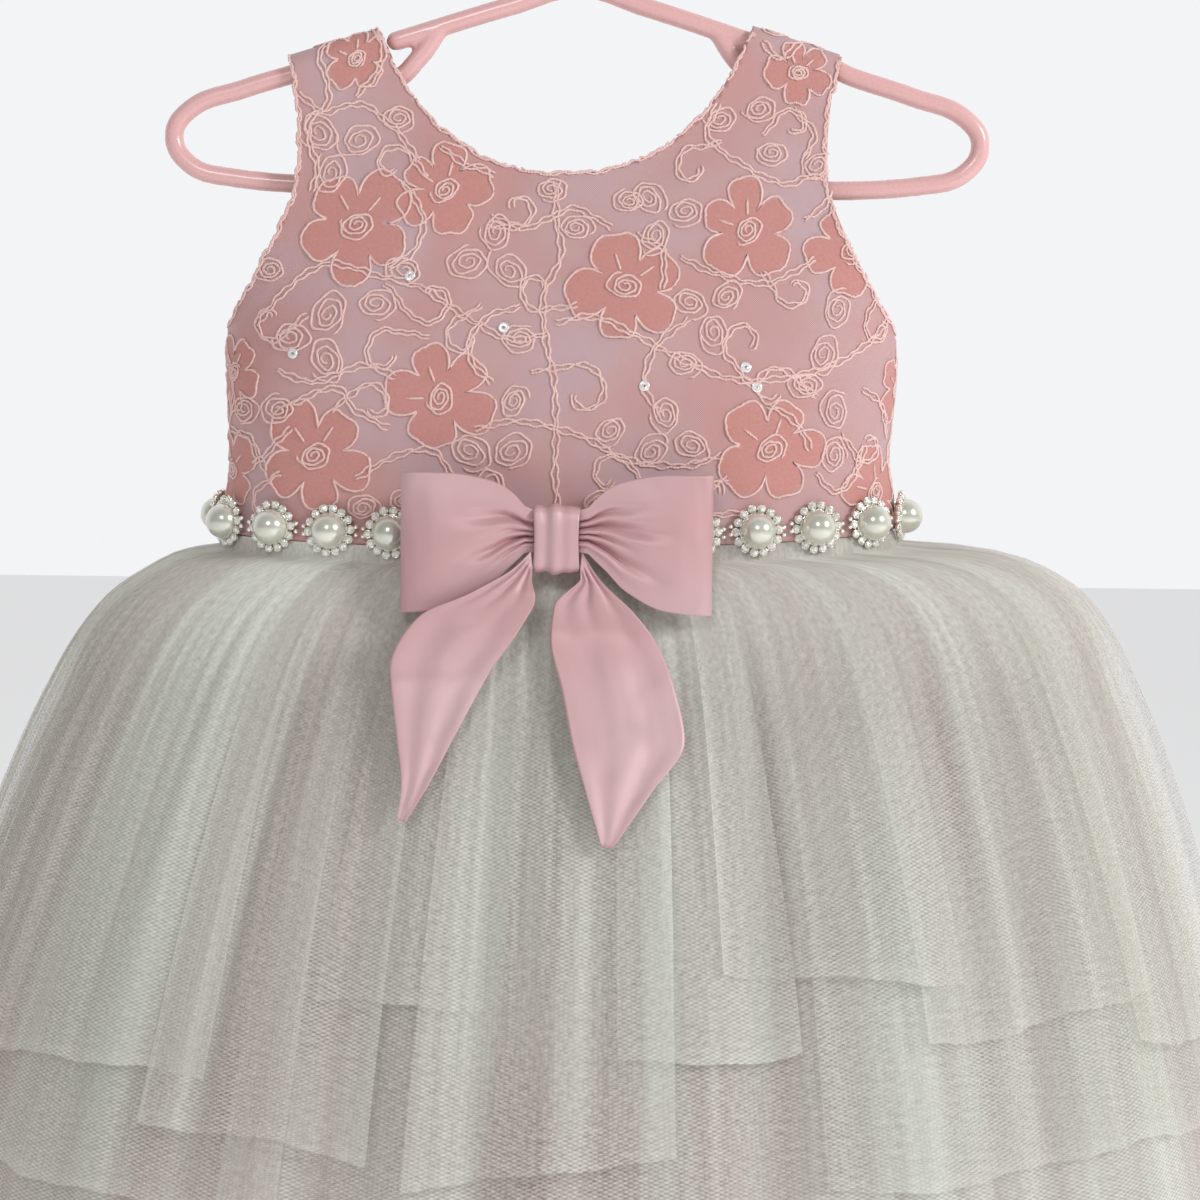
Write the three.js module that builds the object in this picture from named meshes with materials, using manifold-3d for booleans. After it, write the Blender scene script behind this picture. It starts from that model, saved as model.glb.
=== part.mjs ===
// Toddler party dress on a child's tubular hanger, in millimetres, +Z up, front towards -Y.
// The origin is the inside of the hook's crown, where a rail carries it.
// Cloth is a thin wall on a formula surface: a closed oval section that changes with height.
import * as THREE from "three";
import { mergeVertices } from "three/addons/utils/BufferGeometryUtils.js";
import Module from "manifold-3d";

const wasm = await Module();
wasm.setup();

// Driving sizes ------------------------------------------------------------------------------
const SEAM_GAP = 0.3;
const CLOTH = 1.6; // bodice: satin, organza and lining together
const NET = 1.0; // one tier of tulle
const RIBBON = 0.9;
const DRESS_X = -5; // the dress hangs a little to one side on the hanger
const WAIST_Z = -256;
const WAIST_DIP = 5; // the waist seam is lower at the centre front
const SQUARE = 0.4; // how flat the front and back of the bodice's oval are
const HEM_DROP = 380;

const HANGER = {
  tube: 3.5,
  peakZ: -62,
  slope: 0.313,
  spurX: 66,
  branchX: 50,
  notchZ: -96,
  shoulderX: 121,
  shoulderZ: -100.4,
  endX: 134,
  barZ: -132.3,
  hookRadius: 21.5,
};

const STRAP = {
  inner: 69,
  outer: 101,
  topZ: -75.5,
  slope: 0.313,
  fold: 6.3, // outside radius of the fold over the hanger
  leftDrop: 2.6, // the wearer's right strap lies lower
};

const BOW = { y: -51, z: -258.5 };
const PEARL = { pitch: 21.6, first: 5.8, hidden: 40, backGap: 10, disc: 9.3, radius: 6.3, rise: 4.4 };

// Sections -----------------------------------------------------------------------------------
// Bodice sections above the waist seam. half is half the width, front and back are the depths.
// Above the underarm, half belongs to the oval that the straps are cut from.
const BODICE = [
  { up: 0, half: 124, front: 38, back: 34 },
  { up: 28, half: 121.5, front: 37, back: 33 },
  { up: 60, half: 122, front: 34, back: 31 },
  { up: 75, half: 122, front: 31, back: 28.5 },
  { up: 103, half: 126, front: 22.5, back: 21 },
  { up: 126, half: 134, front: 15.5, back: 15 },
  { up: 146, half: 142, front: 9.8, back: 9.8 },
  { up: 163, half: 150, front: 7, back: 7 },
  { up: 200, half: 150, front: 7, back: 7 },
];

// Skirt sections below the waist seam, at the outermost layer. The tulle hugs the seam under the
// trim, then springs out, higher on the right. square falls from the bodice's value to a plain oval.
const SKIRT = [
  { drop: 0.3, left: 123.8, right: 123.8, front: 37.8, back: 33.8, square: 0.4 },
  { drop: 5.8, left: 124.3, right: 124.5, front: 38.3, back: 34.3, square: 0.4 },
  { drop: 8, left: 138, right: 156, front: 39.5, back: 38, square: 0.38 },
  { drop: 13, left: 149, right: 176, front: 41.5, back: 44, square: 0.36 },
  { drop: 25, left: 167, right: 195, front: 46, back: 55, square: 0.32 },
  { drop: 50, left: 187, right: 212, front: 57, back: 71, square: 0.26 },
  { drop: 95, left: 209, right: 229, front: 76, back: 90, square: 0.2 },
  { drop: 155, left: 232, right: 246, front: 99, back: 110, square: 0.16 },
  { drop: 225, left: 254, right: 262, front: 122, back: 130, square: 0.13 },
  { drop: 300, left: 272, right: 276, front: 144, back: 149, square: 0.1 },
  { drop: 380, left: 286, right: 287, front: 163, back: 166, square: 0.08 },
];

// The layers, outermost first. inset is how far inside the outermost one each lies once the
// skirt has opened, and depth is how far its folds swing in and out.
const LAYERS = {
  panel_outer: { step: 0, inset: 2.5, depth: 3 },
  panel_inner: { step: 1, inset: 8, depth: 3 },
  middle: { step: 2, inset: 15, depth: 3.4 },
  bottom: { step: 3, inset: 23, depth: 4 },
  lining: { step: 4, inset: 35, depth: 2.4 },
};
const STEP = NET + SEAM_GAP; // from layer to layer at the waist seam
const FOLDS = 22; // outward folds round each layer
const COLUMN = Math.PI / FOLDS; // from an outward fold to the next inward one

// Top tier: loose panels round the waist, in two layers. first and last count folds from the
// centre front, positive to the right. start and end are the drops of the hem at those edges.
const PANELS = [
  { first: -4, last: -2, start: 192, end: 200, layer: "panel_outer" },
  { first: -2, last: -1, start: 150, end: 153, layer: "panel_outer" },
  { first: -1, last: 1, start: 207, end: 200, layer: "panel_outer" },
  { first: 1, last: 2, start: 168, end: 165, layer: "panel_outer" },
  { first: 2, last: 4, start: 142, end: 144, layer: "panel_outer" },
  { first: 4, last: 7, start: 164, end: 158, layer: "panel_outer" },
  { first: 7, last: 13, start: 172, end: 186, layer: "panel_outer" },
  { first: 13, last: 19, start: 186, end: 160, layer: "panel_outer" },
  { first: 19, last: 26, start: 166, end: 190, layer: "panel_outer" },
  { first: 26, last: 33, start: 182, end: 164, layer: "panel_outer" },
  { first: 33, last: 40, start: 166, end: 178, layer: "panel_outer" },
  { first: -3, last: 3, start: 222, end: 214, layer: "panel_inner" },
  { first: 3, last: 9, start: 210, end: 204, layer: "panel_inner" },
  { first: 9, last: 17, start: 214, end: 196, layer: "panel_inner" },
  { first: 17, last: 26, start: 206, end: 216, layer: "panel_inner" },
  { first: 26, last: 34, start: 210, end: 200, layer: "panel_inner" },
  { first: 34, last: 41, start: 204, end: 218, layer: "panel_inner" },
];
const PANEL_GAP = 0.06; // of a fold, at each side edge

// Small helpers ------------------------------------------------------------------------------
const RAD = Math.PI / 180;
const mix = (a, b, t) => a + (b - a) * t;
const clamp = (x, low, high) => Math.min(high, Math.max(low, x));
const smooth = (x, low, high) => {
  const t = clamp((x - low) / (high - low), 0, 1);
  return t * t * (3 - 2 * t);
};

// A row of a table at a height between its own rows, by a cubic through the neighbours.
function rowAt(table, key, at) {
  const last = table.length - 2;
  let i = table.findIndex((row) => row[key] > at) - 1;
  if (i < 0) i = at < table[0][key] ? 0 : last;
  const before = table[Math.max(i - 1, 0)];
  const low = table[i];
  const high = table[i + 1];
  const after = table[Math.min(i + 2, table.length - 1)];
  const width = high[key] - low[key];
  const t = clamp((at - low[key]) / width, 0, 1);
  const made = {};
  for (const name of Object.keys(low)) {
    const rise = (high[name] - low[name]) / width;
    const lead = low === before ? rise : (low[name] - before[name]) / (low[key] - before[key]);
    const trail = high === after ? rise : (after[name] - high[name]) / (after[key] - high[key]);
    const start = rise * lead <= 0 ? 0 : (2 * rise * lead) / (rise + lead);
    const end = rise * trail <= 0 ? 0 : (2 * rise * trail) / (rise + trail);
    made[name] =
      low[name] +
      t * width * start +
      t * t * (3 * (high[name] - low[name]) - width * (2 * start + end)) +
      t * t * t * (width * (start + end) - 2 * (high[name] - low[name]));
  }
  return made;
}

// A point of an oval, phi from the centre front towards +X.
function ovalPoint(phi, right, left, front, back, square, z) {
  const s = Math.sin(phi);
  const c = Math.cos(phi);
  const half = s >= 0 ? right : left;
  const depth = c >= 0 ? front : back;
  return new THREE.Vector3(DRESS_X + half * s, -depth * c * (1 + square * s * s), z);
}

const waistZ = (phi) => WAIST_Z - WAIST_DIP * (0.5 + 0.5 * Math.cos(phi)) ** 2;

// A wall between two surfaces. surface(u, v) gives { outer, inner }; u runs anticlockwise seen
// from above, v runs down. columns and rows are the shares of u and v that get a line of points.
function clothWall(surface, columns, rows, closed = false) {
  const across = columns.length;
  const sides = ["outer", "inner"];
  const points = { outer: [], inner: [] };
  for (const u of columns)
    for (const v of rows) {
      const at = surface(u, v);
      for (const side of sides) points[side].push(at[side]);
    }
  const index = (i, j, side) =>
    (side === "outer" ? 0 : points.outer.length) + (i % across) * rows.length + j;
  const faces = [];
  const quad = (a, b, c, d) => faces.push(a, b, c, c, b, d);
  const spans = closed ? across : across - 1;
  const foot = rows.length - 1;
  for (let i = 0; i < spans; i++) {
    for (let j = 0; j < foot; j++) {
      const [a, b] = [index(i, j, "outer"), index(i, j + 1, "outer")];
      const [c, d] = [index(i + 1, j, "outer"), index(i + 1, j + 1, "outer")];
      quad(a, b, c, d);
      const [e, f] = [index(i, j, "inner"), index(i, j + 1, "inner")];
      const [g, h] = [index(i + 1, j, "inner"), index(i + 1, j + 1, "inner")];
      quad(e, g, f, h);
    }
    quad(index(i, 0, "outer"), index(i + 1, 0, "outer"), index(i, 0, "inner"), index(i + 1, 0, "inner"));
    quad(index(i, foot, "outer"), index(i, foot, "inner"), index(i + 1, foot, "outer"), index(i + 1, foot, "inner"));
  }
  if (!closed)
    for (let j = 0; j < foot; j++) {
      quad(index(0, j, "outer"), index(0, j, "inner"), index(0, j + 1, "outer"), index(0, j + 1, "inner"));
      const end = across - 1;
      quad(index(end, j, "outer"), index(end, j + 1, "outer"), index(end, j, "inner"), index(end, j + 1, "inner"));
    }
  const geometry = new THREE.BufferGeometry().setFromPoints([...points.outer, ...points.inner]);
  geometry.setIndex(faces);
  return geometry;
}

// The outward normal of a surface of two shares, u anticlockwise and v down.
function normalOf(base, u, v, du, dv) {
  const along = base(u + du, v).sub(base(u - du, v));
  const down = base(u, v + dv).sub(base(u, v - dv));
  return down.cross(along).normalize();
}

const steps = (from, to, count) => Array.from({ length: count + 1 }, (_, i) => mix(from, to, i / count));

// Solids for cutting and joining.
function solidOf(geometry) {
  const bare = new THREE.BufferGeometry().setAttribute("position", geometry.getAttribute("position"));
  if (geometry.index) bare.setIndex(geometry.index);
  const merged = mergeVertices(bare, 1e-3);
  return new wasm.Manifold(
    new wasm.Mesh({
      numProp: 3,
      vertProperties: new Float32Array(merged.attributes.position.array),
      triVerts: new Uint32Array(merged.index.array),
    }),
  );
}

function geometryOf(solid) {
  const mesh = solid.getMesh();
  const geometry = new THREE.BufferGeometry();
  geometry.setAttribute("position", new THREE.BufferAttribute(mesh.vertProperties, 3));
  geometry.setIndex(new THREE.BufferAttribute(mesh.triVerts, 1));
  return geometry;
}

// Materials ----------------------------------------------------------------------------------
const finish = (color, roughness, metalness = 0) =>
  new THREE.MeshStandardMaterial({ color, roughness, metalness });
const MATERIALS = {
  lace: finish(0xe8bcc0, 0.55),
  satin: finish(0xe6aeb6, 0.35),
  tulle: finish(0xe9e2d8, 0.8),
  lining: finish(0xeab9bb, 0.6),
  pearl: finish(0xe6e6da, 0.2),
  plastic: finish(0xe5abae, 0.3),
};

const dress = new THREE.Group();
function add(name, geometry, material) {
  const mesh = new THREE.Mesh(geometry, material);
  mesh.name = name;
  dress.add(mesh);
  return mesh;
}

// Hanger: one moulding of round tube ---------------------------------------------------------
function tube(curve, count) {
  const circle = new THREE.Shape().absarc(0, 0, HANGER.tube, 0, 2 * Math.PI);
  return new THREE.ExtrudeGeometry(circle, {
    steps: count,
    curveSegments: 4,
    bevelEnabled: false,
    extrudePath: curve,
  });
}

function roundedEnd(x, z) {
  return new THREE.SphereGeometry(HANGER.tube - 0.06, 8, 6).translate(x, 0, z);
}

function hanger() {
  const at = (x, z) => new THREE.Vector3(x, 0, z);
  const { peakZ, slope, spurX, branchX, notchZ, shoulderX, shoulderZ, endX, barZ } = HANGER;
  const armZ = (x) => peakZ - Math.abs(x) * slope;
  const arms = new THREE.CatmullRomCurve3([
    at(-spurX, armZ(spurX)),
    at(-24, armZ(24)),
    at(0, peakZ - 1),
    at(24, armZ(24)),
    at(spurX, armZ(spurX)),
  ]);

  // One length of tube from each branch down through the strap notch, round the end and into
  // the bar below.
  const half = [
    [branchX, armZ(branchX)],
    [58, -89],
    [67, notchZ],
    [75, -90.5],
    [83, -87.8],
    [100, -93.8],
    [shoulderX, shoulderZ],
    [endX + 7, shoulderZ - 8],
    [endX + 12.3, shoulderZ - 17],
    [endX + 7, shoulderZ - 27],
    [endX - 9, barZ],
  ];
  const loop = new THREE.CatmullRomCurve3(
    [...half.map(([x, z]) => at(-x, z)), at(0, barZ), ...half.map(([x, z]) => at(x, z)).reverse()],
    false,
    "centripetal",
  );

  const centreZ = HANGER.tube - HANGER.hookRadius;
  const turned = (degrees) =>
    at(HANGER.hookRadius * Math.cos(degrees * RAD), centreZ + HANGER.hookRadius * Math.sin(degrees * RAD));
  const hook = new THREE.CatmullRomCurve3([
    at(0, peakZ - 0.5),
    at(0, -51),
    at(1.8, -44.5),
    ...[-38, -8, 22, 52, 82, 112, 142, 172, 198, 222].map(turned),
  ]);
  const tip = turned(221.5);
  const pieces = [
    tube(arms, 6),
    tube(loop, 60),
    tube(hook, 22),
    roundedEnd(-spurX, armZ(spurX)),
    roundedEnd(spurX, armZ(spurX)),
    roundedEnd(tip.x, tip.z),
  ];
  return geometryOf(pieces.map(solidOf).reduce((whole, piece) => whole.add(piece)));
}
add("hanger", hanger(), MATERIALS.plastic);

// Bodice: three panels cut from the oval, with straps that fold over the hanger --------------
const strapTop = (x) => {
  const out = clamp(Math.abs(x - DRESS_X), 50, 112);
  const drop = STRAP.leftDrop * smooth(DRESS_X - x, 20, 60);
  return STRAP.topZ - (out - STRAP.inner) * STRAP.slope - drop;
};
const FOLD_SHARE = 0.2; // the first share of v is the fold, the rest goes down to the waist

function bodiceSurface(phi, v) {
  const tall = BODICE[BODICE.length - 1];
  const top = strapTop(DRESS_X + tall.half * Math.sin(phi));
  const foldZ = top - STRAP.fold;
  if (v < FOLD_SHARE) {
    const turn = (v / FOLD_SHARE) * (Math.PI / 2);
    const depth = Math.max(tall.front * Math.sin(turn), SEAM_GAP / 2);
    return ovalPoint(phi, tall.half, tall.half, depth, depth, SQUARE, foldZ + STRAP.fold * Math.cos(turn));
  }
  const foot = waistZ(phi);
  const z = mix(foldZ, foot, (v - FOLD_SHARE) / (1 - FOLD_SHARE));
  const row = rowAt(BODICE, "up", z - foot);
  return ovalPoint(phi, row.half, row.half, row.front, row.back, SQUARE, z);
}

function bodiceWall(phi, v) {
  const outer = bodiceSurface(phi, v);
  const normal = normalOf(bodiceSurface, phi, clamp(v, 0.004, 0.996), 0.01, 0.004);
  if (v === 0) normal.set(0, 0, 1);
  return { outer, inner: outer.clone().addScaledVector(normal, -CLOTH) };
}

const BODICE_ROWS = [0, 0.067, 0.133, ...steps(FOLD_SHARE, 1, 7)];

// The scoop of the neck and the armholes, as outlines in X and Z.
function neckOutline(depthZ) {
  const shape = new THREE.Shape();
  shape.moveTo(-74, -50);
  shape.lineTo(-68, -76);
  shape.quadraticCurveTo(-48, depthZ, 0, depthZ);
  shape.quadraticCurveTo(48, depthZ, 68, -76);
  shape.lineTo(74, -50);
  return shape;
}

function armholeOutline(side) {
  const shape = new THREE.Shape();
  shape.moveTo(side * 103, -60);
  shape.lineTo(side * 99.5, -86);
  shape.quadraticCurveTo(side * 93.5, -112, side * 95.5, -134);
  shape.quadraticCurveTo(side * 99, -152, side * 122.5, -187);
  shape.lineTo(side * 170, -187);
  shape.lineTo(side * 170, -60);
  return shape;
}

function cutter(outline) {
  const reach = 90;
  const geometry = new THREE.ExtrudeGeometry(outline, { depth: 2 * reach, curveSegments: 9, bevelEnabled: false });
  geometry.rotateX(Math.PI / 2);
  geometry.translate(DRESS_X, reach, 0);
  return solidOf(geometry);
}

const NECK_Z = { front: -130.3, back: -134 };
function bodicePanel(fromDegrees, toDegrees, columns, atFront) {
  const wall = solidOf(clothWall(bodiceWall, steps(fromDegrees * RAD, toDegrees * RAD, columns), BODICE_ROWS));
  const cuts = [neckOutline(atFront ? NECK_Z.front : NECK_Z.back), armholeOutline(-1), armholeOutline(1)];
  return geometryOf(cuts.reduce((left, outline) => left.subtract(cutter(outline)), wall));
}
const SIDE_GAP = 0.17; // degrees of the oval that make half a seam gap at the side
const BACK_GAP = 0.08;
add("bodice_front", bodicePanel(-90 + SIDE_GAP, 90 - SIDE_GAP, 22, true), MATERIALS.lace);
add("bodice_back_right", bodicePanel(90 + SIDE_GAP, 180 - BACK_GAP, 11, false), MATERIALS.lace);
add("bodice_back_left", bodicePanel(180 + BACK_GAP, 270 - SIDE_GAP, 11, false), MATERIALS.lace);

// Back closing: covered buttons in a row on the centre back seam -----------------------------
const BUTTON = { radius: 4.5, high: 3, count: 4, top: 118, step: 32 };
for (let i = 0; i < BUTTON.count; i++) {
  const up = BUTTON.top - i * BUTTON.step;
  const row = rowAt(BODICE, "up", up);
  const dome = [
    [0, 0],
    [BUTTON.radius * 0.8, 0],
    [BUTTON.radius, BUTTON.high * 0.35],
    [BUTTON.radius * 0.8, BUTTON.high * 0.75],
    [BUTTON.radius * 0.4, BUTTON.high * 0.97],
    [0, BUTTON.high],
  ].map(([r, h]) => new THREE.Vector2(r, h));
  const button = add(`button_${i + 1}`, new THREE.LatheGeometry(dome, 10), MATERIALS.satin);
  button.position.set(DRESS_X, row.back + SEAM_GAP + 0.6, WAIST_Z + up);
}

// Skirt: a lining and layers of tulle gathered into the waist seam ---------------------------
const opened = (drop) => smooth(drop, 6, 60);

function skirtBase(phi, drop) {
  const row = rowAt(SKIRT, "drop", drop);
  return ovalPoint(phi, row.right, row.left, row.front, row.back, row.square, waistZ(phi) - drop);
}

function skirtWall(layer, thickness) {
  return (phi, drop) => {
    const normal = normalOf(skirtBase, phi, Math.max(drop, 0.8), 0.01, 0.4);
    const inset = mix(layer.step * STEP, layer.inset, opened(drop));
    const swell = layer.depth * smooth(drop, 8, 110) * Math.cos(FOLDS * phi);
    const outer = skirtBase(phi, drop).addScaledVector(normal, swell - inset);
    return { outer, inner: outer.clone().addScaledVector(normal, -thickness) };
  };
}

const HEMS = {
  middle: (phi) => 276 + 14 * Math.sin(3 * phi + 0.6) + 9 * Math.sin(7 * phi),
  bottom: (phi) => HEM_DROP - 6 + 5 * Math.sin(5 * phi),
  lining: () => HEM_DROP - 26,
};
const ROW_DROPS = [0.3, 5.8, 13, 25, 50, 95];
const PANEL_SPRING = 8;
const PANEL_HEM = 200; // stands for the hem in a panel's list of rows

// A whole layer, its rows set out from the waist to its own hem.
function ring(layer, hem, longest) {
  const wall = skirtWall(layer, NET);
  const far = ROW_DROPS[ROW_DROPS.length - 1];
  const rows = [...ROW_DROPS, ...steps(far, longest, longest > 300 ? 3 : 2).slice(1)];
  const place = (phi, row) => {
    const share = clamp((row - far) / (longest - far), 0, 1);
    return wall(phi, share > 0 ? mix(far, hem(phi), share) : row);
  };
  const columns = steps(0, 2 * Math.PI, 2 * FOLDS).slice(0, -1);
  return clothWall(place, columns, rows, true);
}

PANELS.forEach((panel, i) => {
  const wall = skirtWall(LAYERS[panel.layer], NET);
  const rows = [...ROW_DROPS.slice(0, 2), PANEL_SPRING, ...ROW_DROPS.slice(2), PANEL_HEM];
  const from = (panel.first + PANEL_GAP) * COLUMN;
  const to = (panel.last - PANEL_GAP) * COLUMN;
  const place = (phi, row) => {
    const hem = mix(panel.start, panel.end, (phi - from) / (to - from));
    return wall(phi, row === PANEL_HEM ? hem : row);
  };
  const inside = steps(panel.first, panel.last, panel.last - panel.first).slice(1, -1);
  const columns = [from, ...inside.map((column) => column * COLUMN), to];
  const name = `skirt_panel_${String(i + 1).padStart(2, "0")}`;
  add(name, clothWall(place, columns, rows), MATERIALS.tulle);
});
add("skirt_tier_middle", ring(LAYERS.middle, HEMS.middle, 276), MATERIALS.tulle);
add("skirt_tier_bottom", ring(LAYERS.bottom, HEMS.bottom, 374), MATERIALS.tulle);
add("skirt_lining", ring(LAYERS.lining, HEMS.lining, 354), MATERIALS.lining);

// Waist trim: pearls in round settings, a fixed pitch apart along the seam -------------------
function waistLine() {
  const surface = (phi) => ovalPoint(phi, 124, 124, BODICE[0].front, BODICE[0].back, SQUARE, waistZ(phi));
  const line = steps(-Math.PI, Math.PI, 720).map((phi) => ({ phi, point: surface(phi) }));
  let along = 0;
  line.forEach((at, i) => {
    if (i) along += at.point.distanceTo(line[i - 1].point);
    at.along = along;
  });
  const front = line[360].along;
  return { line: line.map((at) => ({ ...at, along: at.along - front })), surface };
}

function pearlGeometry() {
  const centre = 2.6;
  const profile = [
    [0, 0],
    [PEARL.disc - 0.6, 0],
    [PEARL.disc, 0.8],
    [PEARL.disc - 0.5, 2],
    [PEARL.radius + 0.1, 2.2],
  ];
  for (const turn of [30, 62])
    profile.push([PEARL.radius * Math.cos(turn * RAD), centre + PEARL.radius * Math.sin(turn * RAD)]);
  profile.push([0, centre + PEARL.radius]);
  return new THREE.LatheGeometry(profile.map(([r, h]) => new THREE.Vector2(r, h)), 8);
}

function addPearls() {
  const { line, surface } = waistLine();
  const reach = Math.min(-line[0].along, line[line.length - 1].along) - PEARL.backGap;
  let number = 0;
  const lowest = Math.ceil((-reach - PEARL.first) / PEARL.pitch);
  const highest = Math.floor((reach - PEARL.first) / PEARL.pitch);
  for (let k = lowest; k <= highest; k++) {
    const along = PEARL.first + k * PEARL.pitch;
    if (Math.abs(along) < PEARL.hidden) continue;
    const { phi } = line.find((at) => at.along >= along);
    const tangent = surface(phi + 0.01).sub(surface(phi - 0.01)).setZ(0).normalize();
    const out = new THREE.Vector3(tangent.y, -tangent.x, 0);
    number += 1;
    const pearl = add(`pearl_${String(number).padStart(2, "0")}`, pearlGeometry(), MATERIALS.pearl);
    pearl.position.copy(surface(phi)).addScaledVector(out, SEAM_GAP);
    pearl.position.z += PEARL.rise;
    pearl.quaternion.setFromUnitVectors(new THREE.Vector3(0, 1, 0), out);
  }
}
addPearls();

// Bow: two folded loops, a band round their middle and two tails -----------------------------
// X and height of a point of the bow are from its knot's centre.
const LOOP = [
  { x: 3, centre: 2.5, half: 6.5 },
  { x: 9, centre: 3.2, half: 7 },
  { x: 16, centre: 3.6, half: 13 },
  { x: 24, centre: 1.5, half: 19 },
  { x: 38, centre: -0.8, half: 23.6 },
  { x: 54, centre: -1.6, half: 24.5 },
];
const LOOP_ROUND = 0.55; // how blunt a loop's outer end is
const PUFF = { front: 7.5, back: 2.2, knot: 0.32 };

// A loop is one length of ribbon, out from the knot and back behind itself.
function loopSurface(side) {
  return (u, v) => {
    const turn = Math.PI * (side > 0 ? u : 1 - u);
    const reach = Math.max(Math.sin(turn), 0) ** LOOP_ROUND;
    const x = mix(LOOP[0].x, LOOP[LOOP.length - 1].x, reach);
    const { centre, half } = rowAt(LOOP, "x", x);
    const c = Math.cos(turn);
    const swell = mix(PUFF.knot, 1, Math.sin(turn));
    const gather = c > 0 ? 0.9 * c * Math.sin(turn) * Math.cos(4 * Math.PI * v) : 0;
    const out = (c > 0 ? PUFF.front : PUFF.back + 0.8 * (1 - Math.sin(turn))) * c * swell + gather;
    return new THREE.Vector3(DRESS_X + side * x, BOW.y - out, BOW.z + centre + half * (1 - 2 * v));
  };
}

function ribbonWall(surface) {
  return (u, v) => {
    const outer = surface(u, v);
    const normal = normalOf(surface, clamp(u, 0.01, 0.99), clamp(v, 0.01, 0.99), 0.008, 0.008);
    return { outer, inner: outer.clone().addScaledVector(normal, -RIBBON) };
  };
}
const REACHES = [0, 0.1, 0.19, 0.3, 0.45, 0.62, 0.79, 0.92, 0.98];
const NEAR_SIDE = REACHES.map((reach) => Math.asin(reach ** (1 / LOOP_ROUND)) / Math.PI);
const LOOP_COLUMNS = [...NEAR_SIDE, 0.5, ...NEAR_SIDE.map((u) => 1 - u).reverse()];
add("bow_loop_left", clothWall(ribbonWall(loopSurface(-1)), LOOP_COLUMNS, steps(0, 1, 6)), MATERIALS.satin);
add("bow_loop_right", clothWall(ribbonWall(loopSurface(1)), LOOP_COLUMNS, steps(0, 1, 6)), MATERIALS.satin);

function knotBand() {
  const rounded = (half, front, back, corner) => {
    const shape = new THREE.Shape();
    shape.absarc(half - corner, back - corner, corner, 0, Math.PI / 2);
    shape.absarc(-half + corner, back - corner, corner, Math.PI / 2, Math.PI);
    shape.absarc(-half + corner, front + corner, corner, Math.PI, 1.5 * Math.PI);
    shape.absarc(half - corner, front + corner, corner, 1.5 * Math.PI, 2 * Math.PI);
    shape.closePath();
    return shape;
  };
  const { half, front, back, wall } = KNOT;
  const band = rounded(half, front, back, 3.4);
  band.holes.push(rounded(half - wall, front + wall, back - wall, 3.4 - wall));
  const geometry = new THREE.ExtrudeGeometry(band, {
    depth: KNOT.wide,
    curveSegments: 3,
    bevelEnabled: false,
  });
  geometry.translate(0, 0, -KNOT.wide / 2);
  geometry.rotateY(Math.PI / 2);
  return geometry.translate(DRESS_X, 0, BOW.z);
}
const KNOT = { half: 11.6, front: -56.4, back: -38.9, wall: 1.1, wide: 16 };
add("bow_knot", knotBand(), MATERIALS.satin);

// Edges of the tails, row by row from the knot to the slanted end: left and right X and height.
const TAILS = {
  left: [
    { leftX: -8.8, leftUp: -4, rightX: -8.4, rightUp: -9.5 },
    { leftX: -15, leftUp: -10, rightX: -8.4, rightUp: -13.4 },
    { leftX: -30, leftUp: -18.5, rightX: -7, rightUp: -20 },
    { leftX: -47, leftUp: -26.5, rightX: -12.5, rightUp: -31 },
    { leftX: -57, leftUp: -45, rightX: -22, rightUp: -45 },
    { leftX: -54, leftUp: -68, rightX: -34.5, rightUp: -68 },
    { leftX: -51.8, leftUp: -83.3, rightX: -42.5, rightUp: -83.3 },
    { leftX: -52.6, leftUp: -94.5, rightX: -50, rightUp: -95.5 },
  ],
  right: [
    { leftX: 8.4, leftUp: -9.5, rightX: 8.8, rightUp: -4 },
    { leftX: 8.4, leftUp: -13.4, rightX: 15.5, rightUp: -14 },
    { leftX: -0.6, leftUp: -23, rightX: 27, rightUp: -25 },
    { leftX: -1.8, leftUp: -35, rightX: 36, rightUp: -37 },
    { leftX: 2.5, leftUp: -52, rightX: 41.5, rightUp: -51 },
    { leftX: 6, leftUp: -68, rightX: 45, rightUp: -68 },
    { leftX: 11.2, leftUp: -85, rightX: 33.5, rightUp: -85 },
    { leftX: 16.8, leftUp: -102, rightX: 20.5, rightUp: -103 },
  ],
};

// How far forward the outside of the skirt is.
function skirtFront(x, z) {
  let phi = 0;
  let row;
  for (let i = 0; i < 4; i++) {
    row = rowAt(SKIRT, "drop", Math.max(waistZ(phi) - z, 0.3));
    phi = Math.asin(clamp((x - DRESS_X) / (x > DRESS_X ? row.right : row.left), -1, 1));
  }
  const s = Math.sin(phi);
  return row.front * Math.cos(phi) * (1 + row.square * s * s);
}

// The least distance forward of the hanger, by share of the length: the left tail lies over its
// loop, the right one comes out below its loop.
const TAIL_OUT = {
  left: [
    { share: 0, out: 55.4 },
    { share: 0.14, out: 57.6 },
    { share: 0.28, out: 61.6 },
    { share: 0.43, out: 62 },
    { share: 0.6, out: 58 },
    { share: 1, out: 40 },
  ],
  right: [
    { share: 0, out: 54.9 },
    { share: 0.28, out: 53 },
    { share: 0.43, out: 51 },
    { share: 1, out: 40 },
  ],
};

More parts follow.
